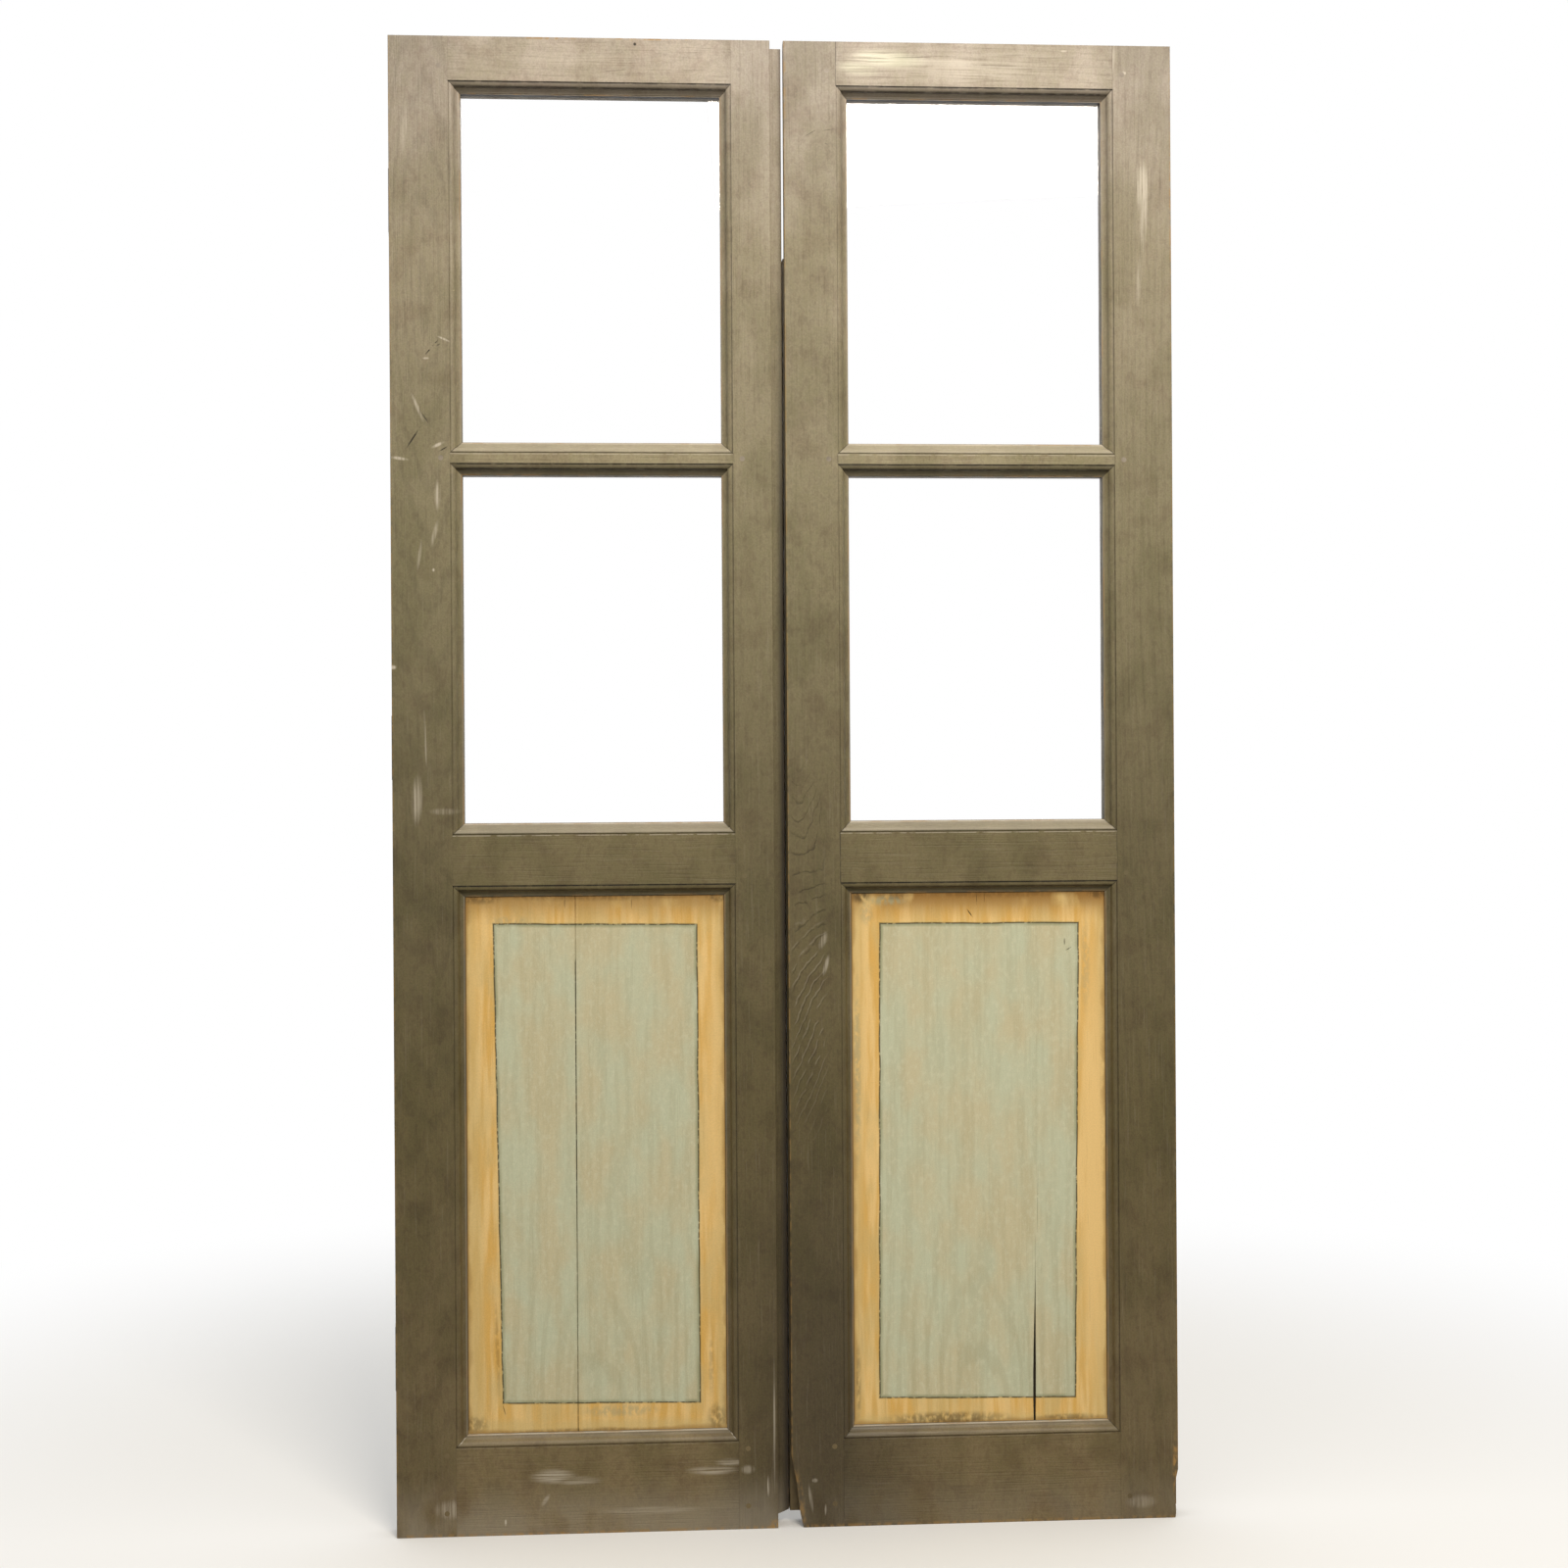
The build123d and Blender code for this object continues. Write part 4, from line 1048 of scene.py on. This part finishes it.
class DOORS_OT_hang_leaves(bpy.types.Operator):
    """Gives the hinges their iron and steel, and adds the screws that hold the plates to the leaves"""

    bl_idname = "doors.hang_leaves"
    bl_label = "Hang the Leaves"

    def execute(self, context):
        iron = wrought_iron()
        pin_steel = turned_steel("hinge_pin_steel")
        screw_steel = turned_steel("screw_steel")
        radius, dome, slot_half_width, slot_depth, depth = (size * mm for size in (3.4, 0.25, 0.45, 0.6, 1.0))
        points, faces = screw_head(radius, dome, slot_half_width, slot_depth, depth)
        from_plate_edge = 9 * mm
        first_turn, next_turn = math.radians(25), math.radians(67)
        for side_name, side in SIDES.items():
            outer_edge = LEAVES[side_name]["edges"][0 if side < 0 else 1]
            # The head's axis, +Z, turns to face out from the plate, and each slot lies at its own angle
            outwards = Matrix.Rotation(math.radians(90 * side), 3, "Y")
            places = []
            turns = []
            for place in PLACES:
                plate = f"{side_name}_{place}_hinge_leaf"
                dress(iron, plate, f"{side_name}_{place}_hinge_jamb")
                low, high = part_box(plate)
                if abs(outer_edge) > max(abs(low[0]), abs(high[0])):
                    raise RuntimeError(f"{plate} doesn't reach the leaf's outer edge")
                for offset in (-screw_spacing / 2, screw_spacing / 2):
                    spin = Matrix.Rotation(first_turn + next_turn * len(places), 3, "Z")
                    places.append((outer_edge, low[1] + from_plate_edge, (low[2] + high[2]) / 2 + offset))
                    turns.append(np.array(outwards @ spin))
            dress(pin_steel, side_name + "_hinge_pins")
            moved, moved_faces = repeat(points, faces, np.array(places), np.array(turns))
            name = side_name + "_hinge_screws"
            add_piece(name, moved, moved_faces.tolist(), screw_steel, side_name + "_leaf")
        return {"FINISHED"}


class DOORS_OT_set_stage(bpy.types.Operator):
    """Adds the floor, the soft studio light and the camera"""

    bl_idname = "doors.set_stage"
    bl_label = "Set the Stage"

    def execute(self, context):
        settings = context.scene.door_stage
        add_floor(settings)
        light_world(settings)
        add_lamp(settings)
        add_camera(settings)
        context.scene.view_settings.view_transform = "Standard"
        return {"FINISHED"}


def seen_background(tree):
    """1 for the rays that should meet a white background: of the camera, off gloss and through glass."""
    path = node("LightPath", tree=tree).node.outputs
    return most(*(path[f"Is {kind} Ray"] for kind in ("Camera", "Glossy", "Transmission")))


def add_floor(settings):
    """A round pale floor that fades to the plain background away from the leaves.

    Its points are r (cos a, sin a) on rings whose radius grows as the square of the ring's number.
    """
    rings, sides, reach, drop = 24, 96, 9.0, 0.2 * mm
    r = reach * (np.arange(1, rings + 1) / rings) ** 2
    angle = np.arange(sides) * 2 * math.pi / sides
    ring_points = np.stack([np.outer(r, np.cos(angle)), np.outer(r, np.sin(angle))], axis=-1).reshape(-1, 2)
    points = np.concatenate([[[0.0, 0.0]], ring_points])
    points = np.concatenate([points, np.full((len(points), 1), -drop)], axis=1)
    step = np.arange(sides) + 1
    hub = np.stack([np.zeros(sides, int), step, np.roll(step, -1)], axis=-1)
    # The rings grow outwards, so the quads are turned over to face up
    quads = bands(rings, sides)[:, ::-1] + 1
    mesh = bpy.data.meshes.new("floor")
    mesh.from_pydata(points.tolist(), [], hub.tolist() + quads.tolist())
    floor = bpy.data.objects.new("floor", mesh)
    bpy.context.scene.collection.objects.link(floor)

    material, shader, place = new_material("studio_floor", {"Roughness": 0.9, "Specular IOR Level": 0.0})
    tree = material.node_tree
    seen = seen_background(tree)
    wire(shader, {"Base Color": blend(settings.floor_shade, settings.floor_colour, seen)})
    # The floor is at full strength up to 0.9 m from the leaves and gone at 2.4 m
    distance = node("VectorMath", {0: place}, out=1, operation="LENGTH")
    fade = times(above(distance, 0.9, 2.4), seen)
    plain = node("Emission", {0: WHITE, 1: 1.0}, tree=tree)
    mixed = node("MixShader", {0: fade, 1: shader.outputs[0], 2: plain})
    output = next(each for each in tree.nodes if each.type == "OUTPUT_MATERIAL")
    tree.links.new(mixed, output.inputs[0])
    mesh.materials.append(material)


def light_world(settings):
    """White where it is seen; otherwise a soft light that grows from below the horizon to overhead."""
    world = bpy.data.worlds.new("studio")
    bpy.context.scene.world = world
    world.use_nodes = True
    tree = world.node_tree
    tree.nodes.clear()
    rise = node("SeparateXYZ", {0: node("TexCoord", tree=tree)}, out=2)
    strength = node("MapRange", {0: rise, 1: -0.5, 2: 0.9, 3: settings.sky_low, 4: settings.sky_high})
    soft = node("Background", {0: WHITE, 1: strength})
    plain = node("Background", {0: WHITE, 1: 1.0}, tree=tree)
    mixed = node("MixShader", {0: seen_background(tree), 1: soft, 2: plain})
    output = tree.nodes.new("ShaderNodeOutputWorld")
    tree.links.new(mixed, output.inputs[0])


def add_lamp(settings):
    """A wide soft lamp above and behind the camera, turned to the upper half of the leaves."""
    lamp_width, lamp_height = 1.2, 0.8
    lamp = bpy.data.lights.new("softbox", "AREA")
    lamp.shape = "RECTANGLE"
    lamp.size, lamp.size_y = lamp_width, lamp_height
    lamp.energy = settings.lamp_power
    lamp.color = linear("#fff4e4")[:3]
    holder = bpy.data.objects.new("softbox", lamp)
    place = Vector((0.55, -2.7, 3.0))
    aim = Vector((0.0, 0.0, 1.3)) - place
    holder.matrix_world = Matrix.Translation(place) @ aim.to_track_quat("-Z", "Y").to_matrix().to_4x4()
    bpy.context.scene.collection.objects.link(holder)


def add_camera(settings):
    """The camera, from its place, its turn and tilt, and its roll about the line of sight."""
    yaw, pitch, roll = settings.camera_yaw, settings.camera_pitch, settings.camera_roll
    forwards = Vector((math.sin(yaw) * math.cos(pitch), math.cos(yaw) * math.cos(pitch), math.sin(pitch)))
    level = Vector((math.cos(yaw), -math.sin(yaw), 0.0))
    upright = level.cross(forwards)
    right = level * math.cos(roll) - upright * math.sin(roll)
    up = level * math.sin(roll) + upright * math.cos(roll)
    turned = Matrix((right, up, -forwards)).transposed().to_4x4()
    data = bpy.data.cameras.new("camera")
    data.lens = settings.lens
    camera = bpy.data.objects.new("camera", data)
    camera.matrix_world = Matrix.Translation(Vector(settings.camera_place)) @ turned
    bpy.context.scene.collection.objects.link(camera)
    bpy.context.scene.camera = camera


class DOORS_PT_pair(bpy.types.Panel):
    """The pair's operators and settings"""

    bl_label = "Glazed Door Pair"
    bl_idname = "DOORS_PT_pair"
    bl_space_type = "VIEW_3D"
    bl_region_type = "UI"
    bl_category = "Doors"

    def draw(self, context):
        layout = self.layout
        for operator in OPERATORS:
            layout.operator(operator.bl_idname)
        for settings in (context.scene.door_paint, context.scene.door_stage):
            column = layout.column()
            for name in settings.bl_rna.properties.keys():
                if name not in ("rna_type", "name"):
                    column.prop(settings, name)


OPERATORS = (
    DOORS_OT_paint_frames,
    DOORS_OT_paint_panels,
    DOORS_OT_glaze,
    DOORS_OT_pin_beads,
    DOORS_OT_close_joint,
    DOORS_OT_fill_split,
    DOORS_OT_hang_leaves,
    DOORS_OT_set_stage,
)
CLASSES = (DoorPaintSettings, DoorStageSettings, *OPERATORS, DOORS_PT_pair)


def register():
    for each in CLASSES:
        bpy.utils.register_class(each)
    bpy.types.Scene.door_paint = bpy.props.PointerProperty(type=DoorPaintSettings)
    bpy.types.Scene.door_stage = bpy.props.PointerProperty(type=DoorStageSettings)


def unregister():
    del bpy.types.Scene.door_stage
    del bpy.types.Scene.door_paint
    for each in reversed(CLASSES):
        bpy.utils.unregister_class(each)


def main():
    register()
    bpy.ops.doors.paint_frames()
    bpy.ops.doors.paint_panels()
    bpy.ops.doors.glaze()
    bpy.ops.doors.pin_beads()
    bpy.ops.doors.close_joint()
    bpy.ops.doors.fill_split()
    bpy.ops.doors.hang_leaves()
    bpy.ops.doors.set_stage()


if __name__ == "__main__":
    main()
